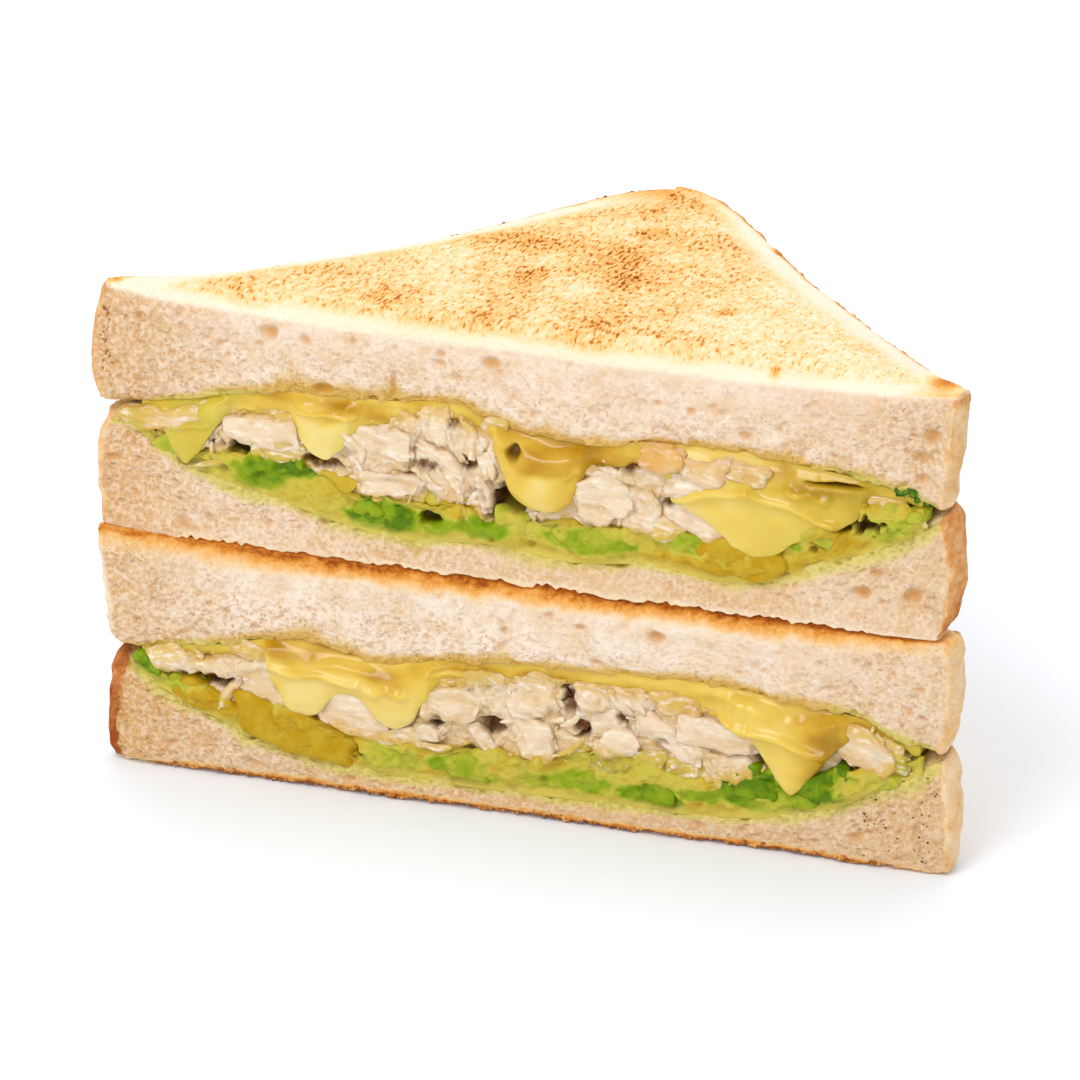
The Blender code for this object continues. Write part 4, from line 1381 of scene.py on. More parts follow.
@dataclass
class Bits:
    """Many small things of one kind, rough little balls pressed on a slice, joined into one piece.

    flat: their thickness as a share of their width; sunk: how far they sit in, as such a share.
    """

    name: str
    slot: str
    half: Half
    side: Side
    seed: int
    flat: float = 0.7
    sunk: float = 0.2

    def dropped(self, spots: np.ndarray, ground: BVHTree) -> list:
        """Where bits come to rest: rays from in front of or above (x, z) or (x, y) spots, to the slice.

        Args:
            spots: Pairs to shoot a ray from.
            ground: The slice's surface.

        Returns:
            The place met by each ray, or None where it meets nothing.
        """
        fill = np.zeros(len(spots))
        if self.side is Side.CUT:
            starts, heading = [spots[:, 0], fill - 30.0, spots[:, 1]], Vector((0.0, 1.0, 0.0))
        else:
            starts, heading = [spots[:, 0], spots[:, 1], fill + 60.0], Vector((0.0, 0.0, -1.0))
        starts = self.half.world(np.stack(starts, axis=-1))
        hits = [ground.ray_cast(Vector(start), heading) for start in starts]
        return [np.array(place) if place is not None else None for place, _, _, _ in hits]

    def build(self, spots: np.ndarray, sizes: np.ndarray, ground: bpy.types.Object,
              material: bpy.types.Material) -> None:
        """Makes the bits.

        Args:
            spots: Where they lie in the half's plan: x and z on the cut, x and y on the top.
            sizes: Their widths, in millimetres.
            ground: The slice that they lie on.
            material: Their finish.
        """
        theta = np.linspace(0.0, np.pi, 6)[1:-1, None]
        phi = np.linspace(0.0, 2.0 * np.pi, 7, endpoint=False)
        ball = [np.sin(theta) * np.cos(phi), np.sin(theta) * np.sin(phi), np.cos(theta) + 0.0 * phi]
        ball = np.stack(ball, axis=-1)
        out = np.array([0.0, -1.0, 0.0]) if self.side is Side.CUT else np.array([0.0, 0.0, 1.0])
        draw = np.random.default_rng(self.seed)
        tree = BVHTree.FromObject(ground, bpy.context.evaluated_depsgraph_get())
        piece = Piece(self.name, self.slot)
        for place, size in zip(self.dropped(spots, tree), sizes):
            stretch = np.array([draw.uniform(0.7, 1.5), draw.uniform(0.6, 1.1), draw.uniform(0.6, 1.2)])
            stretch = np.where(out != 0.0, self.flat, stretch)
            rough = 1.0 + 0.35 * noise(ball * 3.0 + draw.uniform(0.0, 99.0), 1.5, self.seed)
            if place is not None:
                middle = place + out * size * (0.5 * self.flat - self.sunk) * METRES
                points, faces = tube(ball * rough[..., None] * stretch * size * 0.5 * METRES + middle)
                piece.add(points, faces, {})
        piece.build(material)


# ---------------------------------------------------------------- finishes


def linear(hex_colour: str) -> tuple:
    """An sRGB hex colour as linear red, green, blue and alpha."""
    values = [int(hex_colour[k:k + 2], 16) / 255.0 for k in (1, 3, 5)]
    return (*(v / 12.92 if v <= 0.04045 else ((v + 0.055) / 1.055) ** 2.4 for v in values), 1.0)


def add_node(tree: bpy.types.NodeTree, kind: str, inputs: dict | None = None, **settings) -> bpy.types.Node:
    """Adds a node.

    Args:
        tree: Where it goes.
        kind: The node's type.
        inputs: A value, or another node's socket to link, for each input's name or number.
        settings: The node's own properties.

    Returns:
        The node.
    """
    node = tree.nodes.new(kind)
    for key, value in settings.items():
        setattr(node, key, value)
    for key, value in (inputs or {}).items():
        if isinstance(value, bpy.types.NodeSocket):
            tree.links.new(value, node.inputs[key])
        else:
            node.inputs[key].default_value = value
    return node


def per_metre(millimetres: float) -> float:
    """The texture scale whose features are about this size."""
    return 1.0 / (millimetres * METRES)


def principled(name: str, values: dict) -> tuple:
    """A new material whose Principled shader has these values in its inputs.

    Args:
        name: The real substance.
        values: Each input's value, under its name.

    Returns:
        The material and its shader.
    """
    made = bpy.data.materials.new(name)
    made.use_nodes = True
    shader = made.node_tree.nodes["Principled BSDF"]
    for key, value in values.items():
        shader.inputs[key].default_value = value
    return made, shader


@dataclass(frozen=True)
class Finish:
    """A food's surface: its name, and how it scatters and reflects light."""

    name: str
    roughness: float
    scatter: float
    scatter_depth: float
    ior: float = 1.45
    coat: float = 0.0
    scatter_tint: tuple = (1.0, 0.6, 0.35)
    shine: float = 0.5

    def shader(self) -> tuple:
        """A new material with its Principled shader, and a painter for its patterns.

        Returns:
            The material, its shader and its painter.
        """
        made, shader = principled(self.name, {
            "Roughness": self.roughness, "IOR": self.ior, "Specular IOR Level": self.shine,
            "Subsurface Weight": self.scatter, "Subsurface Scale": self.scatter_depth * METRES,
            "Subsurface Radius": self.scatter_tint, "Coat Weight": self.coat,
            "Coat Roughness": COAT_ROUGHNESS})
        where = add_node(made.node_tree, "ShaderNodeTexCoord").outputs["Object"]
        return made, shader, Painter(made.node_tree, where)


@dataclass
class Painter:
    """Adds pattern and blend nodes to one material's tree, all on the same object coordinates."""

    tree: bpy.types.NodeTree
    where: bpy.types.NodeSocket

    def mask(self, name: str) -> bpy.types.NodeSocket:
        """A painted mask of the mesh."""
        return add_node(self.tree, "ShaderNodeAttribute", attribute_name=name).outputs["Fac"]

    def blend(self, share, first, second) -> bpy.types.NodeSocket:
        """Two colours mixed by a share."""
        inputs = {0: share, 6: first, 7: second}
        return add_node(self.tree, "ShaderNodeMix", inputs, data_type="RGBA").outputs[2]

    def spread(self, value, low: float, high: float, start: float = 0.0,
               end: float = 1.0) -> bpy.types.NodeSocket:
        """A value's range spread smoothly to another."""
        return add_node(self.tree, "ShaderNodeMapRange", {0: value, 1: low, 2: high, 3: start, 4: end},
                        interpolation_type="SMOOTHSTEP").outputs[0]

    def maths(self, operation: str, *values) -> bpy.types.NodeSocket:
        """One sum on values or sockets."""
        return add_node(self.tree, "ShaderNodeMath", dict(enumerate(values)), operation=operation).outputs[0]

    def times(self, value, factor, plus=None) -> bpy.types.NodeSocket:
        """A value times a factor, and plus a third where there is one.

        Args:
            value, factor, plus: Numbers or sockets.

        Returns:
            The socket with the result.
        """
        if plus is None:
            return self.maths("MULTIPLY", value, factor)
        return self.maths("MULTIPLY_ADD", value, factor, plus)

    def centred(self, value) -> bpy.types.NodeSocket:
        """A share from 0 to 1 moved to lie round 0."""
        return self.maths("ADD", value, -0.5)

    def speckle(self, size: float, detail: float, roughness: float,
                stretch: tuple = (1.0, 1.0, 1.0)) -> bpy.types.NodeSocket:
        """Noise with features of a size in millimetres.

        Args:
            size: How large its features are.
            detail, roughness: How many finer octaves it has, and how much each of them counts.
            stretch: A share for each axis; features are longer along an axis with a small one.

        Returns:
            The socket with the noise, round a half.
        """
        at = add_node(self.tree, "ShaderNodeMapping", {"Vector": self.where, "Scale": stretch}).outputs[0]
        inputs = {"Vector": at, "Scale": per_metre(size), "Detail": detail, "Roughness": roughness}
        return add_node(self.tree, "ShaderNodeTexNoise", inputs).outputs[0]

    def cells(self, where: bpy.types.NodeSocket, size: float) -> bpy.types.NodeSocket:
        """Distance from the middle of cells of a size in millimetres."""
        inputs = {"Vector": where, "Scale": per_metre(size)}
        return add_node(self.tree, "ShaderNodeTexVoronoi", inputs).outputs["Distance"]

    def bump(self, shader: bpy.types.Node, height, strength: float, reach: float) -> None:
        """Links a bump to a shader, so that light falls on it as on a rough surface.

        Args:
            shader: What it is linked to.
            height: The socket with the rise, 0 to 1.
            strength: How much of it shows.
            reach: How high a rise of 1 stands, in millimetres.
        """
        inputs = {"Strength": strength, "Distance": reach * METRES, "Height": height}
        bump = add_node(self.tree, "ShaderNodeBump", inputs)
        self.tree.links.new(bump.outputs[0], shader.inputs["Normal"])

    def bent(self, size: float, reach: float) -> bpy.types.NodeSocket:
        """The coordinates pushed about by soft noise of a size in millimetres, by up to reach metres.

        Args:
            size: The noise's size.
            reach: How far it pushes.

        Returns:
            The bent coordinates.
        """
        inputs = {"Vector": self.where, "Scale": per_metre(size), "Detail": 2.0}
        bent = add_node(self.tree, "ShaderNodeTexNoise", inputs).outputs[1]
        steps = (("SUBTRACT", {1: (0.5, 0.5, 0.5)}), ("SCALE", {"Scale": reach}), ("ADD", {1: self.where}))
        for operation, other in steps:
            inputs = {0: bent, **other}
            bent = add_node(self.tree, "ShaderNodeVectorMath", inputs, operation=operation).outputs[0]
        return bent

    def ramp(self, value, tones: tuple) -> bpy.types.NodeSocket:
        """A value read as a colour between named tones.

        Args:
            value: A socket from 0 to 1.
            tones: The tones, from 0 to 1.

        Returns:
            The colour.
        """
        ramp = add_node(self.tree, "ShaderNodeValToRGB", {0: value})
        stops = ramp.color_ramp.elements
        while len(stops) < len(tones):
            stops.new(0.5)
        for stop, (place, tone) in zip(stops, tones):
            stop.position = place
            stop.color = linear(tone)
        return ramp.outputs[0]


@dataclass(frozen=True)
class BreadFinish(Finish):
    """White bread: a springy baked foam, matt and a little translucent, browned where it toasted."""

    cell: float = 0.7  # in millimetres
    wide_cell: float = 1.7
    crumb: str = "#f5e1ce"
    crumb_shade: str = "#ebcfad"
    # Tan crumb, partly painted shade.
    crumb_tan_and_painted_shade: str = "#d8a768"
    wall: str = "#fdf0e0"
    # Painted shade inside the bubbles and holes.
    pore: str = "#d69d5a"
    soaked: tuple = ((0.0, "#e4c270"), (0.5, "#d9a93e"), (1.0, "#b98108"))
    smeared: tuple = ((0.0, "#dccb70"), (1.0, "#b1ac2c"))
    skin: tuple = ((0.0, "#f8e2c4"), (0.4, "#f2c488"), (0.7, "#dc9450"), (1.0, "#a04c10"))
    toast: tuple = ((0.0, "#faeddc"), (0.12, "#fae6c6"), (0.24, "#fad7a0"), (0.42, "#f3b562"),
                    (0.6, "#db8a2e"), (0.8, "#a9560f"), (1.0, "#6b3202"))

    def crumb_pattern(self, paint: "Painter") -> tuple:
        """Pale walls round small bent cells: the crumb's colour, and how far each place is a hole.

        Args:
            paint: The material's painter.

        Returns:
            The colour and the holes.
        """
        cloud = paint.speckle(5.0, 4.0, 0.6, (1.0, 1.0, 1.5))
        colour = paint.blend(paint.spread(cloud, 0.36, 0.66), linear(self.crumb), linear(self.crumb_shade))
        # The tan mask's darkening: partly the crumb's own tan, partly painted shade.
        colour = paint.blend(paint.times(paint.mask("tan"), 0.7), colour, linear(self.crumb_tan_and_painted_shade))
        lace = paint.mask("lace")
        bent = paint.bent(1.0, 0.0012)
        cells, wide = paint.cells(bent, self.cell), paint.cells(bent, self.wide_cell)
        patchy = paint.spread(paint.speckle(3.4, 2.0, 0.5), 0.36, 0.64, 0.1, 1.0)
        holes = paint.times(paint.spread(cells, 0.1, 0.5, 0.8, 0.0), patchy)
        torn = paint.spread(paint.speckle(1.0, 3.0, 0.6, (1.0, 1.0, 1.5)), 0.52, 0.68, 0.0, 0.6)
        holes = paint.maths("MAXIMUM", holes, torn)
        holes = paint.maths("MAXIMUM", holes, paint.times(paint.spread(wide, 0.14, 0.5, 0.5, 0.0), patchy))
        holes = paint.times(holes, lace)
        walls = paint.spread(cells, 0.42, 0.78, 0.0, 0.34)
        walls = paint.times(walls, paint.spread(lace, 0.0, 1.0, 0.4, 1.0))
        return paint.blend(walls, colour, linear(self.wall)), holes

    def toasting(self, paint: "Painter") -> bpy.types.NodeSocket:
        """How dark the toast is: even on the border and the cut, in small streaks of char on the plateau.

        Args:
            paint: The material's painter.

        Returns:
            The darkness.
        """
        toast, fleck = paint.mask("toast"), paint.mask("fleck")
        grain = paint.centred(paint.speckle(0.9, 3.0, 0.6, (1.0, 0.5, 0.7)))
        singed = paint.times(paint.centred(paint.speckle(0.8, 4.0, 0.65)), toast)
        streaks = paint.speckle(0.5, 2.0, 0.5, (1.0, 0.36, 0.6))
        spots = paint.spread(paint.times(toast, 0.26, streaks), 0.64, 0.8)
        value = paint.times(toast, paint.times(fleck, -0.36, 1.0))
        value = paint.times(paint.times(grain, fleck), 0.6, value)
        value = paint.times(singed, paint.times(fleck, -0.9, 1.0), value)
        return paint.times(spots, paint.times(paint.times(toast, 0.42, 0.18), fleck), value)

    def material(self) -> bpy.types.Material:
        """Crumb by noise, fine pores painted in shade, then what has soaked in, the crust and the toasting.

        Returns:
            The bread's material.
        """
        made, shader, paint = self.shader()
        link = made.node_tree.links.new
        colour, holes = self.crumb_pattern(paint)
        # Painted shade: the crumb darkens inside the bubbles and the pattern's holes, and the soaked and
        # smeared colours deepen there.
        pore = paint.maths("MAXIMUM", paint.times(paint.mask("pore"), 0.85), holes)
        stain = paint.mask("stain")
        tinted = paint.ramp(paint.times(pore, 0.7, paint.times(stain, 0.35)), self.soaked)
        pale = paint.blend(paint.spread(pore, 0.02, 1.0), colour, linear(self.pore))
        colour = paint.blend(paint.times(stain, 0.9), pale, tinted)
        colour = paint.blend(paint.times(paint.mask("green"), 0.92), colour, paint.ramp(pore, self.smeared))
        bake = paint.times(paint.centred(paint.speckle(1.4, 5.0, 0.72)), 0.85, paint.mask("bake"))
        colour = paint.blend(paint.mask("crust"), colour, paint.ramp(bake, self.skin))
        colour = paint.blend(paint.mask("cover"), colour, paint.ramp(self.toasting(paint), self.toast))
        link(colour, shader.inputs["Base Color"])
        grit = paint.speckle(0.35, 2.0, 0.6)
        scorched = paint.times(paint.speckle(0.8, 2.0, 0.55, (1.0, 0.5, 0.7)), paint.mask("fleck"))
        paint.bump(shader, paint.times(scorched, 1.4, paint.times(holes, -1.3, grit)), 0.6, 0.35)
        link(paint.spread(grit, 0.3, 0.7, 0.74, 0.94), shader.inputs["Roughness"])
        return made


@dataclass(frozen=True)
class Overlay:
    """A tone laid over a finish where a painted mask says: its mask, colour and greatest share."""

    mask: str
    tone: str
    share: float = 1.0


@dataclass(frozen=True)
class FillingFinish(Finish):
    """A moist filling whose colour runs through named tones by a painted mask and fine mottling."""

    mask: str = ""
    tones: tuple = ()
    mottle: float = 1.6
    mottle_share: float = 0.35
    bump_size: float = 0.6
    bump_strength: float = 0.4
    bump_depth: float = 0.2
    grain: tuple = (1.0, 1.0, 1.0)
    streak: str = ""
    overlays: tuple = ()

    def material(self) -> bpy.types.Material:
        """Tones on a ramp, read at the mask plus noise, with overlays, a fine bump and wet highlights.

        Returns:
            The filling's material.
        """
        made, shader, paint = self.shader()
        link = made.node_tree.links.new
        cloud = paint.speckle(self.mottle, 4.0, 0.6)
        mask = paint.mask(self.mask) if self.mask else 0.5
        colour = paint.ramp(paint.times(paint.centred(cloud), self.mottle_share, mask), self.tones)
        if self.streak:
            strands = paint.speckle(1.5 * self.bump_size, 3.0, 0.6, self.grain)
            colour = paint.blend(paint.spread(strands, 0.48, 0.7, 0.0, 0.75), colour, linear(self.streak))
        for overlay in self.overlays:
            share = paint.times(paint.mask(overlay.mask), overlay.share)
            colour = paint.blend(share, colour, linear(overlay.tone))
        link(colour, shader.inputs["Base Color"])
        grain = paint.speckle(self.bump_size, 3.0, 0.5, self.grain)
        paint.bump(shader, grain, self.bump_strength, self.bump_depth)
        wet = paint.spread(cloud, 0.3, 0.7, self.roughness - 0.06, self.roughness + 0.1)
        link(wet, shader.inputs["Roughness"])
        return made


# White tin bread, a baked wheat foam: matt, pale and a little translucent, with fine open cells where
# the knife went through, a thin tan crust and streaks of brown where the grill touched it.
BREAD = BreadFinish("toasted_white_bread", 0.85, 0.12, 0.4, shine=0.3)
# Ripe avocado, crushed with a fork: an oily paste with a soft shine, golden to deep green, whose
# darkest flesh is what lay next to the skin. Its dark brown is painted shade in its hollows and
# under the chicken.
AVOCADO = FillingFinish(
    "mashed_avocado", 0.34, 0.2, 0.9, scatter_tint=(1.0, 1.0, 0.3), shine=0.16, mask="tone",
    tones=((0.0, "#bd930a"), (0.2, "#c9a92c"), (0.38, "#c9b848"), (0.55, "#b4b434"), (0.7, "#94a41a"),
           (0.86, "#7f9b0a"), (1.0, "#587a02")),
    mottle=1.5, mottle_share=0.4, bump_size=0.7, bump_strength=0.45,
    overlays=(Overlay("thin", "#d2bd58", 0.8), Overlay("shade", "#432c02", 0.95)))
# Roast chicken breast, torn along the grain: moist, cream white and dull, with fine fibres that catch
# the light. The warm brown of the fibre mask is painted shade in creases, on undersides and under
# ledges; the dark brown of the shade mask is painted shade deeper in and in the gaps.
CHICKEN = FillingFinish(
    "torn_cooked_chicken", 0.46, 0.16, 0.9, coat=0.05, scatter_tint=(1.0, 0.75, 0.4), shine=0.16, mask="tint",
    tones=((0.0, "#ecd6b8"), (0.14, "#e7cca2"), (0.34, "#e0bd74"), (0.6, "#d3b752"), (1.0, "#b3a936")),
    mottle=1.8, mottle_share=0.34, bump_size=0.55, bump_strength=0.8, bump_depth=0.35, grain=(0.35, 1.0, 1.0),
    streak="#fbefdf",
    overlays=(Overlay("fibre", "#d39c50", 0.6), Overlay("brown", "#e3a050", 0.8),
              Overlay("shade", "#6a3804", 0.95)))
# Mild cheese melted on the grill: fat and smooth, so it glows pale yellow where it is thick, turns
# amber where it is a film, and carries small sharp highlights. The dark brown in its cracks is
# painted shade.
CHEESE = FillingFinish(
    "melted_mild_cheese", 0.26, 0.35, 1.6, coat=0.4, scatter_tint=(1.0, 0.75, 0.25), shine=0.12, mask="tone",
    tones=((0.0, "#eed282"), (0.25, "#e8c75a"), (0.55, "#d9b13a"), (0.8, "#c08e0a"), (1.0, "#966802")),
    mottle=2.4, mottle_share=0.32, bump_size=1.6, bump_strength=0.2,
    overlays=(Overlay("green", "#c0ba3e", 0.75), Overlay("shade", "#5e3a04", 0.9)))
# Bread burnt to char at the rim: brittle, dull and nearly black brown.
CHARRED = FillingFinish("charred_crust", 0.7, 0.0, 0.5,
                        tones=((0.3, "#4a200c"), (0.5, "#7a3c14"), (0.7, "#a8622a")),
                        mottle=0.8, mottle_share=1.6)
# Crumbs torn from the toasted face: dry, dull and orange brown.
TOASTED = FillingFinish("toasted_crumbs", 0.75, 0.0, 0.5,
                        tones=((0.3, "#8e4a12"), (0.5, "#c27a2c"), (0.7, "#e3ab64")),
                        mottle=1.2, mottle_share=1.8)
# Coarsely ground black pepper: dry, dull specks of dark husk and paler heart.
PEPPER = FillingFinish("ground_black_pepper", 0.75, 0.0, 0.5,
                       tones=((0.3, "#2b2118"), (0.7, "#7a5632")), mottle=0.8, mottle_share=1.6)
# Chopped parsley leaf: crisp and faintly waxy, dark green with paler cut edges.
HERB = FillingFinish("chopped_parsley", 0.55, 0.0, 0.6, shine=0.2,
                     tones=((0.3, "#2c4c08"), (0.55, "#4f7a14"), (0.75, "#8eaa36")),
                     mottle=0.8, mottle_share=1.6)


# ---------------------------------------------------------------- the studio


@dataclass(frozen=True)
class Studio:
    """The plain studio: a pale floor, large soft lights, and the camera at the photograph's angle.

    azimuth, elevation: the camera's direction in degrees, 0 looking along +Y.
    distance, far: from the aim and to the end of its view, in metres; lens, sensor: in millimetres.
    aim: in the lower half's plan, in millimetres; lit: what the lamps are turned to, in metres.
    surround: the strength of the white all round; glow: of the floor's own light.
    floor_half: half the floor's side, in metres.
    lamps: each soft box's name, its place, its width and height in metres, and its power.
    """

    azimuth: float = 18.9
    elevation: float = 22.7
    distance: float = 1.5
    lens: float = 326.5
    aim: tuple = (2.58, 0.0, 47.2)
    lit: tuple = (0.0, 0.0, 0.03)
    sensor: float = 36.0
    far: float = 20.0
    surround: float = 0.665
    glow: float = 0.035
    floor_half: float = 6.0
    lamps: tuple = (
        ("top_softbox", (-0.12, 0.45, 0.85), (0.9, 0.8), 3.6),
        ("front_softbox", (-0.25, -1.1, 0.85), (0.9, 0.9), 4.1),
        ("glint_lamp", (-0.1, -0.5, 0.86), (0.34, 0.24), 2.3),
    )

    def toward(self) -> Vector:
        """The direction from the aim to the camera."""
        turn, lift = np.radians(self.azimuth), np.radians(self.elevation)
        return Vector((np.sin(turn) * np.cos(lift), -np.cos(turn) * np.cos(lift), np.sin(lift)))

    def stand(self, thing: bpy.types.ID, place: Vector, facing: Vector) -> bpy.types.Object:
        """Puts the camera or a lamp in the scene.

        Args:
            thing: The camera's or lamp's data.
            place: Where it stands, in metres.
            facing: The direction it is turned to.

        Returns:
            The object that stands there.
        """
        stood = bpy.data.objects.new(thing.name, thing)
        stood.location = place
        stood.rotation_euler = facing.to_track_quat("-Z", "Y").to_euler()
        bpy.context.scene.collection.objects.link(stood)
        return stood

    def camera(self) -> None:
        """Places the camera so that the sandwich sits in the frame as in the photograph."""
        aim = Vector(LOWER.world(np.array(self.aim)))
        data = bpy.data.cameras.new("camera")
        data.sensor_width = self.sensor
        data.lens = self.lens
        data.clip_end = self.far
        bpy.context.scene.camera = self.stand(data, aim + self.toward() * self.distance, -self.toward())

    def light(self, name: str, place: tuple, size: tuple, power: float) -> None:
        """One soft box: a rectangular lamp at a place in metres, turned to the sandwich.

        Args:
            name: The lamp's name.
            place: Where it stands.
            size: Its width and height.
            power: Its strength.
        """
        data = bpy.data.lights.new(name, "AREA")
        data.shape = "RECTANGLE"
        data.size, data.size_y = size
        data.energy = power
        self.stand(data, Vector(place), Vector(self.lit) - Vector(place))

    def floor(self) -> None:
        """A wide pale sweep for the sandwich to stand on."""
        mesh = bpy.data.meshes.new("floor")
        ways = ((-1, -1), (1, -1), (1, 1), (-1, 1))
        corners = [(x * self.floor_half, y * self.floor_half, 0) for x, y in ways]
        mesh.from_pydata(corners, [], [(0, 1, 2, 3)])
        # Matt seamless paper, uncoated: it takes soft shadows and shows no shine.
        paper, _ = principled("pale_paper", {
            "Base Color": linear("#f2f8ff"), "Roughness": 0.9,
            "Emission Color": linear("#eef4ff"), "Emission Strength": self.glow})
        mesh.materials.append(paper)
        floor = bpy.data.objects.new("floor", mesh)
        bpy.context.scene.collection.objects.link(floor)

    def build(self) -> None:
        """Sets up the floor, the lights, the surroundings and the camera."""
        self.floor()
        for lamp in self.lamps:
            self.light(*lamp)
        world = bpy.data.worlds.new("studio")
        world.use_nodes = True
        backdrop = world.node_tree.nodes["Background"]
        backdrop.inputs["Color"].default_value = linear("#ffffff")
        backdrop.inputs["Strength"].default_value = self.surround
        bpy.context.scene.world = world
        bpy.context.scene.view_settings.view_transform = "Standard"
        self.camera()


# ---------------------------------------------------------------- the sandwich


UPPER_CHICKEN = (
    Chunk(-59.4, 18.0, 14.5, 3.4, 9, 0.7, -1.4, 0.26, 0.2, depth=4.0),
    Chunk(-42.6, 17.6, 12.0, 4.2, 3, 1.0, -0.2, -0.04, 0.06),
    Chunk(-40.8, 14.9, 10.4, 3.0, 3, 0.6, -0.1, 0.5, 0.9, upright=True),
    Chunk(-23.4, 17.2, 13.0, 6.8, -8, 0.35, -0.2, 0.04), Chunk(-22.4, 12.1, 13.5, 3.6, 7, 0.4, -0.5, 0.05),
    # Recessed and browned as painted shade under the piece above it.
    Chunk(-26.0, 14.2, 7.5, 2.0, 2, 0.2, 1.2, 0.1, brown=0.35),
    Chunk(-13.4, 16.0, 13.0, 7.0, -36, 0.25, -0.2, 0.02),
    Chunk(-14.6, 22.6, 8.0, 6.4, 12, 0.3, 0.1, 0.03, upright=True),
    Chunk(-9.2, 20.6, 6.0, 7.4, -18, 0.3, -0.3, 0.05, upright=True),
    Chunk(-5.4, 21.6, 5.4, 6.0, 8, 0.2, 0.0, 0.08),
    Chunk(-6.6, 17.0, 5.0, 5.6, 20, 0.3, -0.2, 0.05, upright=True),
    Chunk(-11.6, 11.9, 6.4, 2.8, -22, 0.3, 0.9, 0.12), Chunk(-18.6, 21.8, 5.0, 4.4, -30, 0.2, 0.4, 0.12),
    Chunk(-31.4, 13.4, 5.0, 4.6, -35, 0.2, 0.6, 0.25), Chunk(12.4, 14.8, 7.8, 7.4, -7, 1.0, -0.6, 0.0, 0.7),
    Chunk(18.6, 13.7, 5.4, 7.4, 12, 0.3, -0.1, 0.06, upright=True),
    Chunk(21.4, 18.5, 7.6, 4.6, 6, 0.3, -0.1, 0.06), Chunk(22.3, 11.5, 6.4, 4.2, -8, 0.3, -0.2, 0.22),
    Chunk(16.8, 18.6, 4.6, 3.2, 0, 0.3, 0.8, 0.12), Chunk(27.8, 13.3, 10.5, 5.4, -14, 0.75, -0.1, 0.0, 0.3),
    Chunk(26.6, 18.8, 8.6, 3.4, 12, 0.5, -0.9, 0.02),
    Chunk(22.4, 22.2, 8.6, 3.6, -2, 0.7, -1.2, 0.04, brown=0.7),
    Chunk(28.4, 21.4, 9.6, 3.4, 6, 0.7, -1.6, -0.06, brown=0.1),
    Chunk(36.4, 22.0, 8.4, 2.6, -5, 0.7, -1.7, 0.0), Chunk(49.0, 12.9, 6.0, 2.0, -20, 0.3, -0.5, 0.25),
)
UPPER_SHREDS = (
    Shred(((-54.6, 10.7), (-51.0, 11.7), (-47.4, 13.4)), 1.0, -0.4, 0.12),
    Shred(((-7.8, 15.6), (-6.7, 12.6), (-6.0, 9.4)), 2.8, -0.5, 0.05),
    Shred(((-9.6, 24.5), (-8.4, 21.5), (-8.6, 18.0)), 1.6, -0.8, 0.04),
    Shred(((-12.4, 24.0), (-12.0, 20.6), (-9.6, 17.0)), 1.3, -0.6, 0.03),
    Shred(((-4.6, 22.4), (-5.4, 19.0), (-5.0, 15.4)), 1.5, -0.6, 0.1),
    Shred(((-17.6, 19.8), (-14.0, 17.0), (-10.4, 12.4)), 1.5, -0.7, 0.02),
    Shred(((-31.0, 20.6), (-27.2, 17.6), (-27.0, 15.0)), 1.4, -0.5, 0.08),
    Shred(((24.4, 17.0), (27.0, 17.6), (31.0, 20.2)), 1.1, -0.5, 0.2),
    Shred(((15.4, 17.4), (16.0, 14.4), (15.2, 10.6)), 1.4, -0.4, 0.1),
    Shred(((20.0, 16.6), (21.4, 14.0), (20.4, 11.2)), 1.5, -0.5, 0.1),
    Shred(((34.0, 20.6), (38.0, 21.6), (42.5, 20.0)), 1.0, -0.4, 0.3),
    Shred(((61.0, 19.6), (63.0, 18.6), (64.6, 17.0)), 0.9, -0.3, 0.2),
)
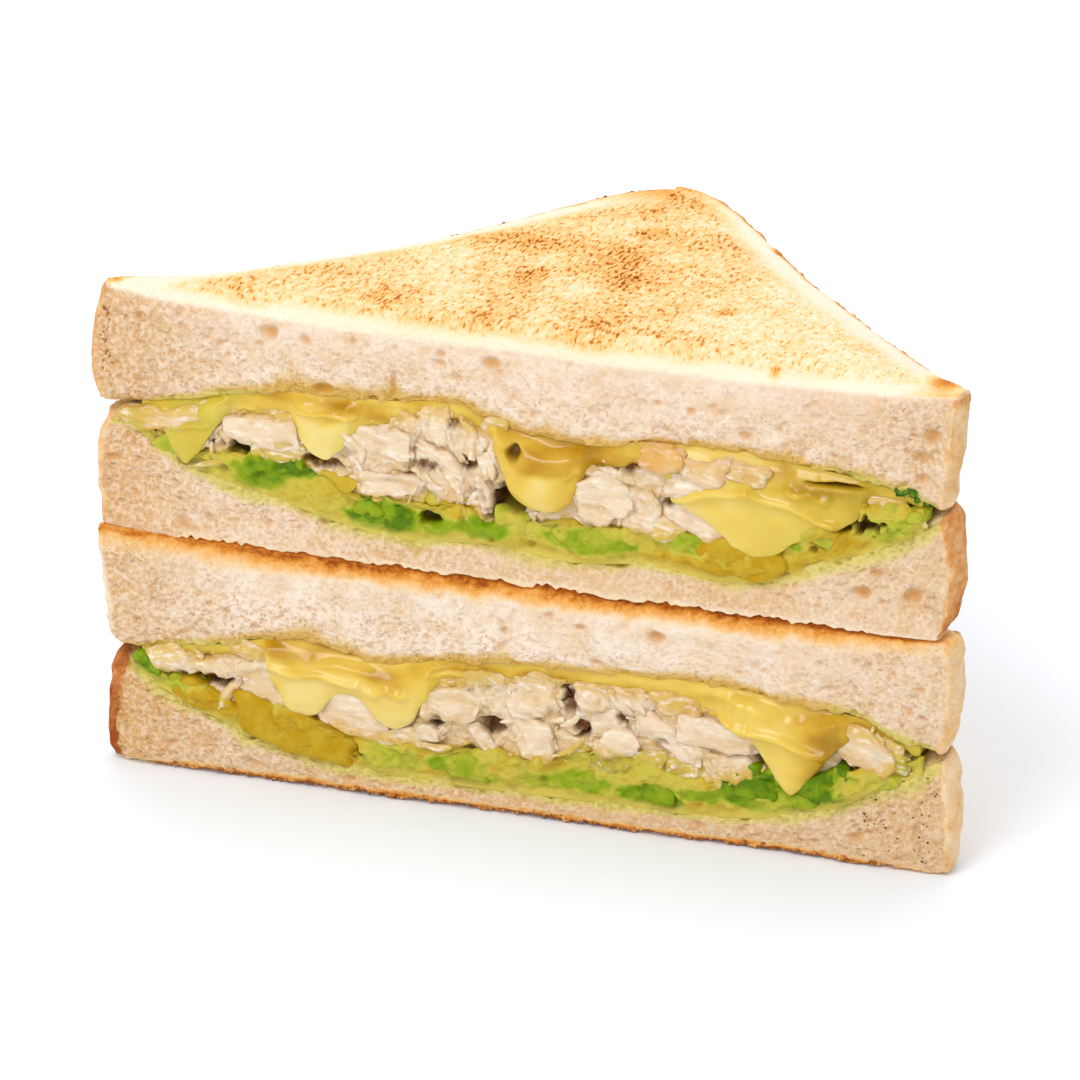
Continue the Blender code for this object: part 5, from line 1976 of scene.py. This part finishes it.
LOWER_CHICKEN = (
    Chunk(-58.2, 18.1, 8.6, 4.2, -3, 0.3, -0.1, 0.12), Chunk(-51.6, 18.2, 10.0, 3.6, 4, 0.3, 0.0, 0.16),
    Chunk(-43.6, 16.4, 7.0, 7.4, 22, 0.3, -0.1, 0.12), Chunk(-45.4, 21.9, 6.0, 2.8, -14, 0.3, 0.0, 0.15),
    Chunk(-40.8, 20.4, 6.5, 3.4, 10, 0.3, 0.2, 0.1),
    Chunk(-28.4, 13.7, 11.5, 5.2, -14, 0.85, 0.0, 0.0, 0.1),
    Chunk(-20.4, 10.8, 8.0, 3.2, 6, 0.4, -0.1, 0.2), Chunk(-16.2, 12.1, 4.4, 2.4, 3, 0.4, -0.3, 0.1),
    Chunk(-11.6, 17.2, 7.8, 7.0, -8, 0.3, -0.3, 0.05, 0.4), Chunk(-4.4, 20.0, 7.4, 6.4, 5, 0.3, -0.1, 0.08),
    Chunk(-1.2, 16.8, 4.6, 5.4, -12, 0.3, 0.3, 0.08), Chunk(2.2, 13.6, 8.2, 7.8, 10, 0.3, -0.4, 0.03, 0.6),
    Chunk(2.4, 19.8, 7.4, 7.4, 10, 0.3, -0.2, 0.05), Chunk(7.6, 17.8, 4.4, 4.8, -20, 0.3, 0.6, 0.06),
    Chunk(11.2, 22.2, 7.4, 4.2, -10, 0.3, -0.2, 0.03), Chunk(17.2, 22.0, 7.6, 4.4, 12, 0.3, -0.1, 0.04),
    Chunk(12.8, 17.9, 6.2, 3.8, 12, 0.5, 0.1, 0.03, 0.5),
    Chunk(20.6, 18.6, 6.8, 4.4, -6, 0.3, 0.0, 0.05, 0.5), Chunk(15.4, 15.0, 5.6, 4.0, 6, 0.9, -0.5, 0.02),
    Chunk(12.6, 14.0, 3.6, 2.8, 12, 0.9, -0.4, 0.05), Chunk(25.6, 15.6, 7.8, 4.0, -4, 0.3, -0.2, 0.04),
    Chunk(31.0, 18.4, 15.0, 4.0, -7, 0.85, -0.2, 0.0, 0.25),
    Chunk(33.0, 13.4, 8.6, 5.0, -8, 0.2, -0.1, 0.14, upright=True),
    Chunk(55.0, 19.4, 10.4, 6.0, -14, 0.3, -0.2, 0.08, 0.5),
    Chunk(59.4, 17.8, 5.0, 3.0, -10, 0.3, 0.0, 0.5), Chunk(19.2, 12.2, 9.0, 3.8, 4, 0.3, 0.0, 0.62),
    Chunk(26.0, 11.8, 8.0, 3.4, -4, 0.3, 0.1, 0.6), Chunk(13.6, 11.2, 6.6, 3.4, 8, 0.3, 0.1, 0.68),
    Chunk(-8.0, 22.4, 6.0, 2.6, 6, 0.3, 0.2, 0.2),
    Chunk(24.6, 22.4, 8.4, 3.0, -4, 0.3, 0.3, 0.25, brown=0.2),
)
LOWER_SHREDS = (
    Shred(((-50.4, 11.4), (-48.9, 14.2), (-46.6, 17.4)), 1.7, -0.5, 0.2),
    Shred(((-8.6, 14.8), (-6.8, 12.2), (-4.6, 9.4)), 3.0, -0.6, 0.06),
    Shred(((4.6, 11.4), (7.8, 12.6), (9.8, 15.2)), 0.9, -0.4, 0.3),
    Shred(((28.8, 15.0), (29.6, 12.6), (29.0, 10.2)), 2.2, 0.0, 0.08),
    Shred(((31.0, 14.6), (31.0, 12.0), (31.6, 9.6)), 1.9, -0.1, 0.1),
    Shred(((33.2, 15.0), (33.6, 12.6), (33.2, 10.4)), 2.1, 0.0, 0.08),
    Shred(((35.6, 15.0), (35.4, 13.2), (36.4, 11.2)), 1.8, 0.0, 0.06),
    Shred(((34.4, 13.4), (36.4, 13.4), (38.2, 12.6)), 1.7, 0.1, 0.08),
    Shred(((27.4, 14.4), (28.0, 12.2), (27.4, 10.2)), 1.0, -0.4, 0.2),
    Shred(((25.0, 16.6), (27.6, 15.0), (28.6, 13.0)), 1.2, -0.6, 0.05),
    Shred(((14.0, 24.0), (15.2, 21.8), (17.8, 20.4)), 1.3, -0.6, 0.04),
    Shred(((16.4, 24.2), (18.2, 22.4), (19.8, 20.6)), 1.1, -0.6, 0.04),
    Shred(((-22.6, 11.6), (-20.4, 9.8), (-19.4, 8.4)), 1.1, -0.4, 0.3),
    Shred(((-16.6, 10.2), (-14.0, 9.8), (-11.8, 10.4)), 1.3, -0.4, 0.15),
)
# Gaps in the chicken, pushed in and painted dark as shade: middle, half width and half height.
UPPER_GAPS = (
    (-47.4, 14.6, 1.6, 1.2), (-35.6, 14.2, 1.4, 0.7), (-32.0, 14.0, 1.6, 0.6), (-16.4, 16.0, 2.0, 0.8),
    (-9.2, 17.2, 0.9, 0.6), (-11.4, 23.6, 0.7, 0.6), (-3.6, 11.4, 2.6, 2.0), (-1.2, 20.2, 1.0, 1.6),
    (23.4, 15.6, 0.9, 0.9), (15.6, 20.2, 2.0, 0.7), (54.4, 16.6, 2.8, 1.2),
)
LOWER_GAPS = (
    (-53.0, 16.0, 4.6, 0.8), (-43.0, 13.2, 1.4, 0.6), (-14.6, 14.4, 0.9, 0.9), (-5.6, 14.6, 1.4, 1.0),
    (7.4, 21.0, 1.0, 2.0), (9.6, 16.4, 1.6, 1.0), (15.8, 18.8, 0.7, 0.7), (22.4, 16.4, 0.7, 0.5),
    (38.4, 15.0, 0.8, 0.8), (52.6, 15.4, 2.2, 1.0),
)
# Patches of the avocado's tone: middle, half width, half height and tone.
UPPER_FLESH = (
    (-46.0, 10.6, 6.0, 2.2, 0.62), (-40.0, 11.6, 6.5, 2.6, 0.9), (-37.0, 12.0, 2.4, 2.4, 0.98),
    (-24.0, 6.2, 6.5, 2.4, 0.94), (-27.0, 7.6, 3.4, 2.2, 0.9), (-15.0, 6.8, 3.0, 2.0, 0.74),
    (-7.0, 7.8, 4.5, 2.4, 0.78), (9.0, 7.0, 7.0, 2.0, 0.66), (16.0, 7.0, 2.4, 1.0, 0.7),
    (-34.0, 8.8, 6.0, 2.6, 0.3), (-52.0, 10.8, 4.0, 1.8, 0.42), (33.0, 6.6, 9.0, 3.6, 0.12),
    (44.0, 8.4, 6.0, 2.6, 0.22), (26.0, 9.4, 4.0, 2.0, 0.6), (43.0, 12.4, 2.6, 1.6, 0.7),
    (52.4, 12.6, 6.0, 2.6, 0.16), (60.0, 15.5, 5.0, 3.0, 0.55), (-12.5, 10.6, 5.0, 2.4, 0.24),
    (2.0, 9.4, 4.0, 1.6, 0.44),
)
UPPER_LUMPS = (
    Chunk(-31.6, 10.6, 6.5, 4.6, -28, 0.1, 0.5, 0.26, 0.3),
    Chunk(-13.2, 11.0, 9.0, 5.0, -10, 0.1, 0.4, 0.24, 0.3),
    Chunk(-2.0, 7.9, 5.0, 3.8, -6, 0.3, -0.2, 0.44, 0.3),
    Chunk(34.0, 8.0, 16.0, 6.4, 2, 0.3, -0.4, 0.06, 0.1),
    Chunk(48.6, 13.0, 6.6, 2.2, -24, 0.3, -0.9, 0.5, 0.8),
    Chunk(60.6, 16.0, 4.8, 4.4, 20, 0.1, -0.7, 0.5, 0.7),
    Chunk(62.6, 18.4, 3.4, 3.4, 0, 0.1, -0.5, 0.62, 0.6),
    Chunk(57.8, 18.8, 4.6, 2.8, 12, 0.1, -0.6, 0.4, 0.7),
    Chunk(52.6, 19.6, 5.4, 2.2, -4, 0.1, -0.5, 0.2, 0.6),
    Chunk(-40.6, 12.6, 9.0, 3.4, 6, 0.1, 0.2, 0.86, 0.4),
    Chunk(-25.6, 7.6, 6.4, 3.2, -16, 0.1, 0.0, 0.88, 0.4),
    Chunk(8.4, 7.6, 9.0, 3.0, -2, 0.1, 0.0, 0.56, 0.4),
    Chunk(-58.0, 14.0, 7.0, 3.6, 30, 0.1, 0.1, 0.5, 0.3),
)
LOWER_FLESH = (
    (-38.0, 8.6, 10.0, 4.0, 0.05), (-52.0, 12.4, 6.0, 2.4, 0.08), (-59.0, 15.4, 5.0, 1.8, 0.5),
    (-62.5, 17.6, 2.6, 1.6, 0.82), (-22.0, 7.6, 4.6, 2.2, 0.5), (-12.5, 7.4, 4.0, 1.3, 0.84),
    (-8.0, 7.0, 5.0, 2.2, 0.54), (-2.0, 8.4, 4.0, 2.0, 0.34), (3.0, 6.6, 3.4, 1.4, 0.6),
    (9.0, 7.8, 5.0, 1.8, 0.76), (20.5, 6.8, 5.0, 1.8, 0.9), (28.0, 8.2, 3.4, 1.3, 0.72),
    (36.6, 10.6, 5.0, 3.2, 0.95), (43.0, 8.6, 6.0, 1.6, 0.6), (49.4, 12.6, 5.6, 2.8, 0.96),
    (56.0, 12.6, 5.0, 2.6, 0.42), (15.0, 10.8, 7.0, 2.2, 0.36),
)
LOWER_LUMPS = (
    Chunk(-38.4, 9.2, 22.5, 6.4, -15, 0.35, -0.3, 0.04, 0.05),
    Chunk(-54.0, 13.3, 10.0, 4.6, -29, 0.2, 0.0, 0.06, 0.1),
    Chunk(-62.2, 17.4, 3.8, 3.0, -30, 0.1, -0.1, 0.86, 0.3),
    Chunk(-22.2, 7.8, 9.4, 3.6, 0, 0.1, 0.1, 0.48, 0.3),
    Chunk(-8.4, 7.4, 9.0, 3.8, -6, 0.1, -0.1, 0.6, 0.2), Chunk(-1.6, 8.6, 6.4, 3.0, 6, 0.1, 0.0, 0.34, 0.3),
    Chunk(10.6, 8.2, 8.4, 2.8, 0, 0.1, 0.1, 0.76, 0.4), Chunk(21.0, 7.6, 7.0, 3.0, -4, 0.1, 0.1, 0.84, 0.4),
    Chunk(37.2, 11.0, 8.4, 5.6, 10, 0.1, 0.0, 0.92, 0.4),
    Chunk(49.2, 12.8, 9.6, 4.6, 20, 0.1, -0.3, 0.94, 0.5),
    Chunk(57.6, 14.4, 7.6, 2.8, 24, 0.1, 0.1, 0.44, 0.4), Chunk(44.0, 9.6, 6.0, 2.4, 4, 0.1, 0.1, 0.7, 0.4),
)
# Deep hollows in the avocado, painted dark as shade: middle, half width, half height and depth.
LOWER_PITS = ((-28.0, 7.4, 0.9, 1.0, 1.6), (40.0, 11.2, 1.0, 0.8, 1.8))
UPPER_PITS = ((-16.0, 7.2, 1.6, 0.7, 1.8), (-3.6, 10.6, 2.0, 1.0, 2.6),
              (54.0, 16.2, 3.0, 1.2, 2.5), (47.6, 12.2, 1.6, 0.7, 1.6))
# The cheese of each half: how low its edge hangs, its thickness and its tones along the cut.
UPPER_CHEESE = MeltedCheese(
    UPPER, 551,
    edge=((-64.0, 19.4), (-60.0, 17.0), (-57.4, 12.4), (-55.6, 11.4), (-53.0, 14.0), (-50.0, 18.6),
          (-46.0, 20.2), (-40.0, 20.6), (-37.0, 17.6), (-34.4, 15.2), (-32.0, 15.0), (-30.2, 16.6),
          (-28.0, 19.8), (-24.0, 21.2), (-18.0, 24.0), (-12.0, 25.4), (-7.0, 23.6), (-4.4, 19.0),
          (-2.6, 14.0), (0.4, 11.6), (3.6, 10.8), (6.2, 11.6), (8.2, 14.2), (9.4, 17.2), (12.0, 19.8),
          (18.0, 20.8), (22.0, 19.4), (24.4, 16.2), (27.6, 14.4), (30.6, 12.4), (34.0, 9.8), (37.4, 8.4),
          (40.4, 9.6), (43.6, 11.6), (47.0, 13.6), (50.6, 15.0), (54.0, 17.4), (58.0, 20.0), (63.0, 20.4)),
    thick=((-60.0, 0.5), (-56.0, 0.7), (-50.0, 0.5), (-38.0, 0.5), (-33.0, 0.6), (-28.0, 0.5), (-8.0, 0.7),
           (3.0, 2.2), (10.0, 0.8), (24.0, 0.5), (36.0, 1.0), (46.0, 0.9), (60.0, 0.5)),
    tone=((-62.0, 0.4), (-50.0, 0.4), (-40.0, 0.3), (-33.0, 0.0), (-27.0, 0.3), (-10.0, 0.5), (-2.0, 0.45),
          (3.0, 0.16), (8.0, 0.6), (20.0, 0.4), (30.0, 0.2), (38.0, 0.26), (46.0, 0.42), (54.0, 0.7),
          (62.0, 0.6)),
    green=((-64.0, 0.7), (-56.0, 0.62), (-50.0, 0.5), (-45.0, 0.1), (30.0, 0.05), (40.0, 0.25), (50.0, 0.3),
           (62.0, 0.6)),
    film=((-64.0, 0.4), (-50.0, 0.4), (-40.0, 0.5), (-20.0, 0.5), (-6.0, 0.5), (2.0, 0.8), (9.0, 0.84),
          (14.0, 0.6), (26.0, 0.4), (40.0, 0.5), (48.0, 0.74), (62.0, 0.6)),
    folds=(Fold((-37.0, 22.4), (-28.0, 22.2), 0.7, 0.8), Fold((-48.0, 20.8), (-45.0, 21.2), 0.6, 0.7),
           Fold((-58.0, 17.0), (-52.0, 18.0), 0.7, 0.8), Fold((7.0, 17.6), (9.4, 19.0), 0.7, 0.7),
           Fold((24.0, 16.4), (36.4, 19.6), 1.2, 1.4), Fold((36.4, 19.6), (50.0, 15.8), 1.2, 1.3),
           Fold((43.0, 20.4), (49.0, 19.8), 1.2, 1.2)),
    cracks=((-1.4, 20.4, 0.8, 1.0), (49.6, 22.0, 3.4, 0.25)),
)
LOWER_CHEESE = MeltedCheese(
    LOWER, 501,
    edge=((-64.0, 19.6), (-56.0, 20.4), (-48.0, 21.0), (-42.6, 20.0), (-40.8, 16.4), (-39.0, 13.2),
          (-36.4, 12.3), (-33.4, 13.4), (-31.4, 15.8), (-28.6, 16.6), (-26.0, 15.4), (-24.0, 13.2),
          (-21.0, 12.3), (-18.4, 13.6), (-16.6, 16.6), (-14.0, 20.0), (-8.0, 21.6), (0.0, 23.2),
          (8.0, 24.4), (20.0, 24.0), (27.0, 22.0), (32.0, 20.4), (36.0, 18.4), (39.0, 15.6), (41.0, 12.4),
          (43.2, 10.4), (45.4, 12.0), (48.0, 15.4), (50.4, 18.6), (54.0, 21.4), (62.0, 20.2)),
    thick=((-60.0, 0.5), (-42.0, 0.6), (-37.0, 0.9), (-30.0, 0.7), (-21.0, 1.0), (-14.0, 0.7), (0.0, 0.5),
           (28.0, 0.6), (40.0, 1.2), (46.0, 1.2), (52.0, 0.8), (60.0, 0.5)),
    tone=((-62.0, 0.5), (-44.0, 0.3), (-36.0, 0.02), (-29.0, 0.1), (-21.0, 0.06), (-14.0, 0.3), (0.0, 0.4),
          (20.0, 0.35), (30.0, 0.35), (38.0, 0.25), (43.0, 0.2), (49.0, 0.85), (54.0, 0.5), (62.0, 0.5)),
    green=((-64.0, 0.5), (-50.0, 0.3), (-44.0, 0.1), (0.0, 0.05), (50.0, 0.1), (62.0, 0.4)),
    film=((-64.0, 0.5), (-46.0, 0.4), (-38.0, 0.55), (-20.0, 0.5), (-8.0, 0.45), (10.0, 0.5), (26.0, 0.45),
          (36.0, 0.35), (46.0, 0.5), (51.0, 0.8), (62.0, 0.5)),
    folds=(Fold((-41.0, 20.2), (-27.0, 19.2), 1.2, 1.3), Fold((-25.4, 18.4), (-19.4, 18.6), 1.4, 1.2),
           Fold((-15.4, 22.0), (-10.0, 22.6), 0.6, 0.7), Fold((-15.0, 23.4), (-8.4, 23.8), 0.6, 0.7),
           Fold((32.0, 21.4), (49.0, 18.2), 1.5, 1.6)),
)
# Browned patches of the toasted top: place, radius and darkness.
TOP_PATCHES = (
    (3.0, 48.5, 4.5, 0.66), (5.0, 38.0, 8.5, 0.54), (25.5, 20.5, 3.6, 0.56), (-13.0, 13.0, 11.0, 0.44),
    (-9.0, 26.0, 8.0, 0.48), (5.5, 27.0, 7.5, 0.52), (1.0, 56.0, 10.0, 0.48), (-20.0, 4.5, 6.0, 0.44),
    (39.5, 2.4, 1.0, 0.5), (16.0, 32.0, 9.0, 0.46), (-28.0, 12.0, 9.0, 0.4), (10.0, 14.0, 12.0, 0.42),
    (66.0, 5.0, 2.9, 0.5), (0.0, 68.0, 7.0, 0.5),
)
# How far in the fillings soaked, along the cut: cheese into each half's top slice, avocado (the
# smears) into the bottom and the top slices.
UPPER_SOAK = ((-66.0, 0.2), (-58.0, 0.8), (-50.0, 1.8), (-40.0, 2.4), (-30.0, 3.4), (-22.0, 3.0),
              (-16.0, 1.4), (-8.0, 2.4), (0.0, 2.0), (10.0, 2.2), (18.0, 1.2), (30.0, 1.4), (45.0, 2.0),
              (60.0, 1.8), (66.0, 0.3))
LOWER_SOAK = ((-66.0, 0.2), (-58.0, 1.0), (-50.0, 2.0), (-42.0, 2.6), (-34.0, 3.4), (-26.0, 2.0),
              (-15.0, 2.0), (-8.0, 2.6), (0.0, 1.8), (15.0, 1.2), (30.0, 2.4), (45.0, 2.2), (58.0, 1.6),
              (66.0, 0.3))
BED_SMEAR = ((-67.0, 0.4), (-62.0, 1.6), (-50.0, 1.8), (-38.0, 1.8), (-20.0, 1.3), (0.0, 1.6), (20.0, 1.2),
             (40.0, 1.3), (55.0, 2.2), (64.0, 2.6), (68.0, 0.5))
NO_SMEAR = ((-66.0, 0.0), (66.0, 0.0))
LID_SMEAR = ((-66.0, 0.0), (-60.0, 0.4), (-55.0, 1.2), (-48.0, 0.6), (-40.0, 0.0), (44.0, 0.0), (52.0, 1.2),
             (62.0, 1.6), (66.0, 0.2))


# Where the rim burnt, just in from the crust, and the radius and darkness of each such patch.
CHAR_INSET, CHAR_PATCH = 2.2, (1.4, 0.75)
RIM_CHAR = tuple((x, float(UPPER.leg_depth(np.array([x]))[0]) - CHAR_INSET)
                 for x in (-59.4, -48.4, -46.0, -38.0, -29.4, -23.4, -12.0, -7.4))


def slices() -> list:
    """The four slices, from the plate up."""
    return [
        BreadSlice(LOWER, False, (68.2, 68.8, 67.2), (67.9, 68.4, 67.2), 0.4, 37, 2.2,
                   ((-66.0, 0.3), (-58.0, 0.8), (-40.0, 1.0), (20.0, 1.05), (50.0, 0.9), (66.0, 0.4)), 0.6,
                   (0.92, 0.3), NO_SMEAR, BED_SMEAR, hollows=(Hollow(-53.0, 5.8, 1.6, 1.0, 0.5),), lace=0.9,
                   left_strip=1.7, tan_and_painted_shade=0.55),
        BreadSlice(LOWER, True, (68.2, 69.2, 70.6), (66.8, 68.3, 67.7), SEAM_FALL, 53, 4.4,
                   ((-68.0, 0.7), (-64.0, 0.8), (-50.0, 0.85), (-40.0, 1.0), (-20.0, 1.0), (10.0, 1.0),
                    (35.0, 1.0), (50.0, 0.9), (62.0, 0.75), (67.0, 0.5)), 0.75,
                   (0.05, 0.3), LOWER_SOAK, LID_SMEAR, hollows=(Hollow(-40.0, 33.5, 2.6, 1.6, 0.3),),
                   under_stack=True, tan_and_painted_shade=0.05),
        BreadSlice(UPPER, False, (69.6, 70.6, 69.3), (67.2, 68.6, 67.0), 0.3, 11, 0.7,
                   ((-66.0, 0.5), (-40.0, 0.34), (0.0, 0.3), (30.0, 0.3), (60.0, 0.34), (67.0, 0.5)), 0.7,
                   (0.4, 0.66), NO_SMEAR, BED_SMEAR,
                   hollows=(Hollow(54.5, 5.0, 1.9, 1.1, 1.0), Hollow(62.4, 5.5, 1.5, 1.6, 1.1),
                            Hollow(56.8, 8.6, 1.2, 0.7, 0.7)), lace=0.8, tan_and_painted_shade=0.28),
        BreadSlice(UPPER, True, (70.4, 71.0, 69.0), (66.9, 68.0, 69.0), 2.8, 23, 0.6,
                   ((-66.0, 0.1), (0.0, 0.08), (60.0, 0.12), (68.0, 0.5)), 0.37,
                   (0.5, 0.38), UPPER_SOAK, LID_SMEAR,
                   patches=TOP_PATCHES + tuple((x, y, *CHAR_PATCH) for x, y in RIM_CHAR),
                   hollows=(Hollow(-48.4, 27.6, 2.6, 2.2, 0.3), Hollow(-33.0, 26.4, 2.0, 1.0, 0.9),
                            Hollow(-21.6, 28.6, 0.7, 2.4, 0.8), Hollow(33.0, 33.8, 1.3, 0.9, 0.4)),
                   loop=(54, 104, 42, 30), tan_and_painted_shade=0.22),
    ]


def clusters(middles: tuple, count: int, spread: tuple, seed: int) -> np.ndarray:
    """Spots drawn round each of a few middles, by a seeded normal draw."""
    draw = np.random.default_rng(seed)
    return np.concatenate([draw.normal(middle, spread, (count, 2)) for middle in middles])


def scatter_bits(bread: list) -> None:
    """The small things: pepper, crumbs burnt along the rim and the base, and a flake of herb.

    Args:
        bread: The four slices' objects, from the plate up.
    """
    draw = np.random.default_rng(77)
    lower_bottom, _, _, upper_top = bread
    pepper, charred, toasted, herb = (finish.material() for finish in (PEPPER, CHARRED, TOASTED, HERB))
    spots = draw.uniform((54.0, 1.5), (67.0, 17.0), (52, 2))
    Bits("pepper_specks", "", LOWER, Side.CUT, 601).build(
        spots, draw.uniform(0.16, 0.36, len(spots)), lower_bottom, pepper)
    along = draw.uniform(-62.0, 58.0, 420)
    spots = np.stack([along, 0.3 + np.abs(draw.normal(0.0, 0.4, len(along)))], axis=-1)
    Bits("base_crumbs", "toasted_bread", LOWER, Side.CUT, 605, 0.6).build(
        spots, draw.uniform(0.25, 0.75, len(spots)), lower_bottom, toasted)
    spots = clusters(RIM_CHAR, 9, (0.9, 0.4), 607)
    Bits("charred_rim", "toasted_bread", UPPER, Side.TOP, 609, 0.6).build(
        spots, draw.uniform(0.2, 0.7, len(spots)), upper_top, charred)
    spots = clusters(((-68.6, 26.0), (-68.9, 30.0), (-68.4, 34.0)), 12, (0.5, 1.8), 611)
    Bits("tip_crumbs", "toasted_bread", UPPER, Side.CUT, 613, 0.6).build(
        spots, draw.uniform(0.2, 0.45, len(spots)), upper_top, toasted)
    spots = clusters(((61.6, 21.6),), 18, (1.0, 0.6), 615)
    Bits("herb_flake", "", UPPER, Side.CUT, 617, 0.5, -0.1).build(
        spots, draw.uniform(0.7, 1.4, len(spots)), upper_top, herb)


def main() -> None:
    """Builds the sandwich's pieces in order, then the studio."""
    logging.basicConfig(level=logging.INFO, format="%(name)s: %(message)s")
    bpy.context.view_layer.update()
    bread, avocado, chicken, cheese = (finish.material() for finish in (BREAD, AVOCADO, CHICKEN, CHEESE))
    baked = [slice_of_bread.build(bread) for slice_of_bread in slices()]
    AvocadoMash(LOWER, 301, LOWER_FLESH, LOWER_LUMPS, LOWER_PITS).build(avocado)
    AvocadoMash(UPPER, 351, UPPER_FLESH, UPPER_LUMPS, UPPER_PITS).build(avocado)
    ChickenFilling(LOWER, 401, LOWER_CHICKEN, LOWER_SHREDS, LOWER_GAPS).build(chicken)
    ChickenFilling(UPPER, 451, UPPER_CHICKEN, UPPER_SHREDS, UPPER_GAPS).build(chicken)
    LOWER_CHEESE.build(cheese)
    UPPER_CHEESE.build(cheese)
    scatter_bits(baked)
    Studio().build()


if __name__ == "__main__":
    main()
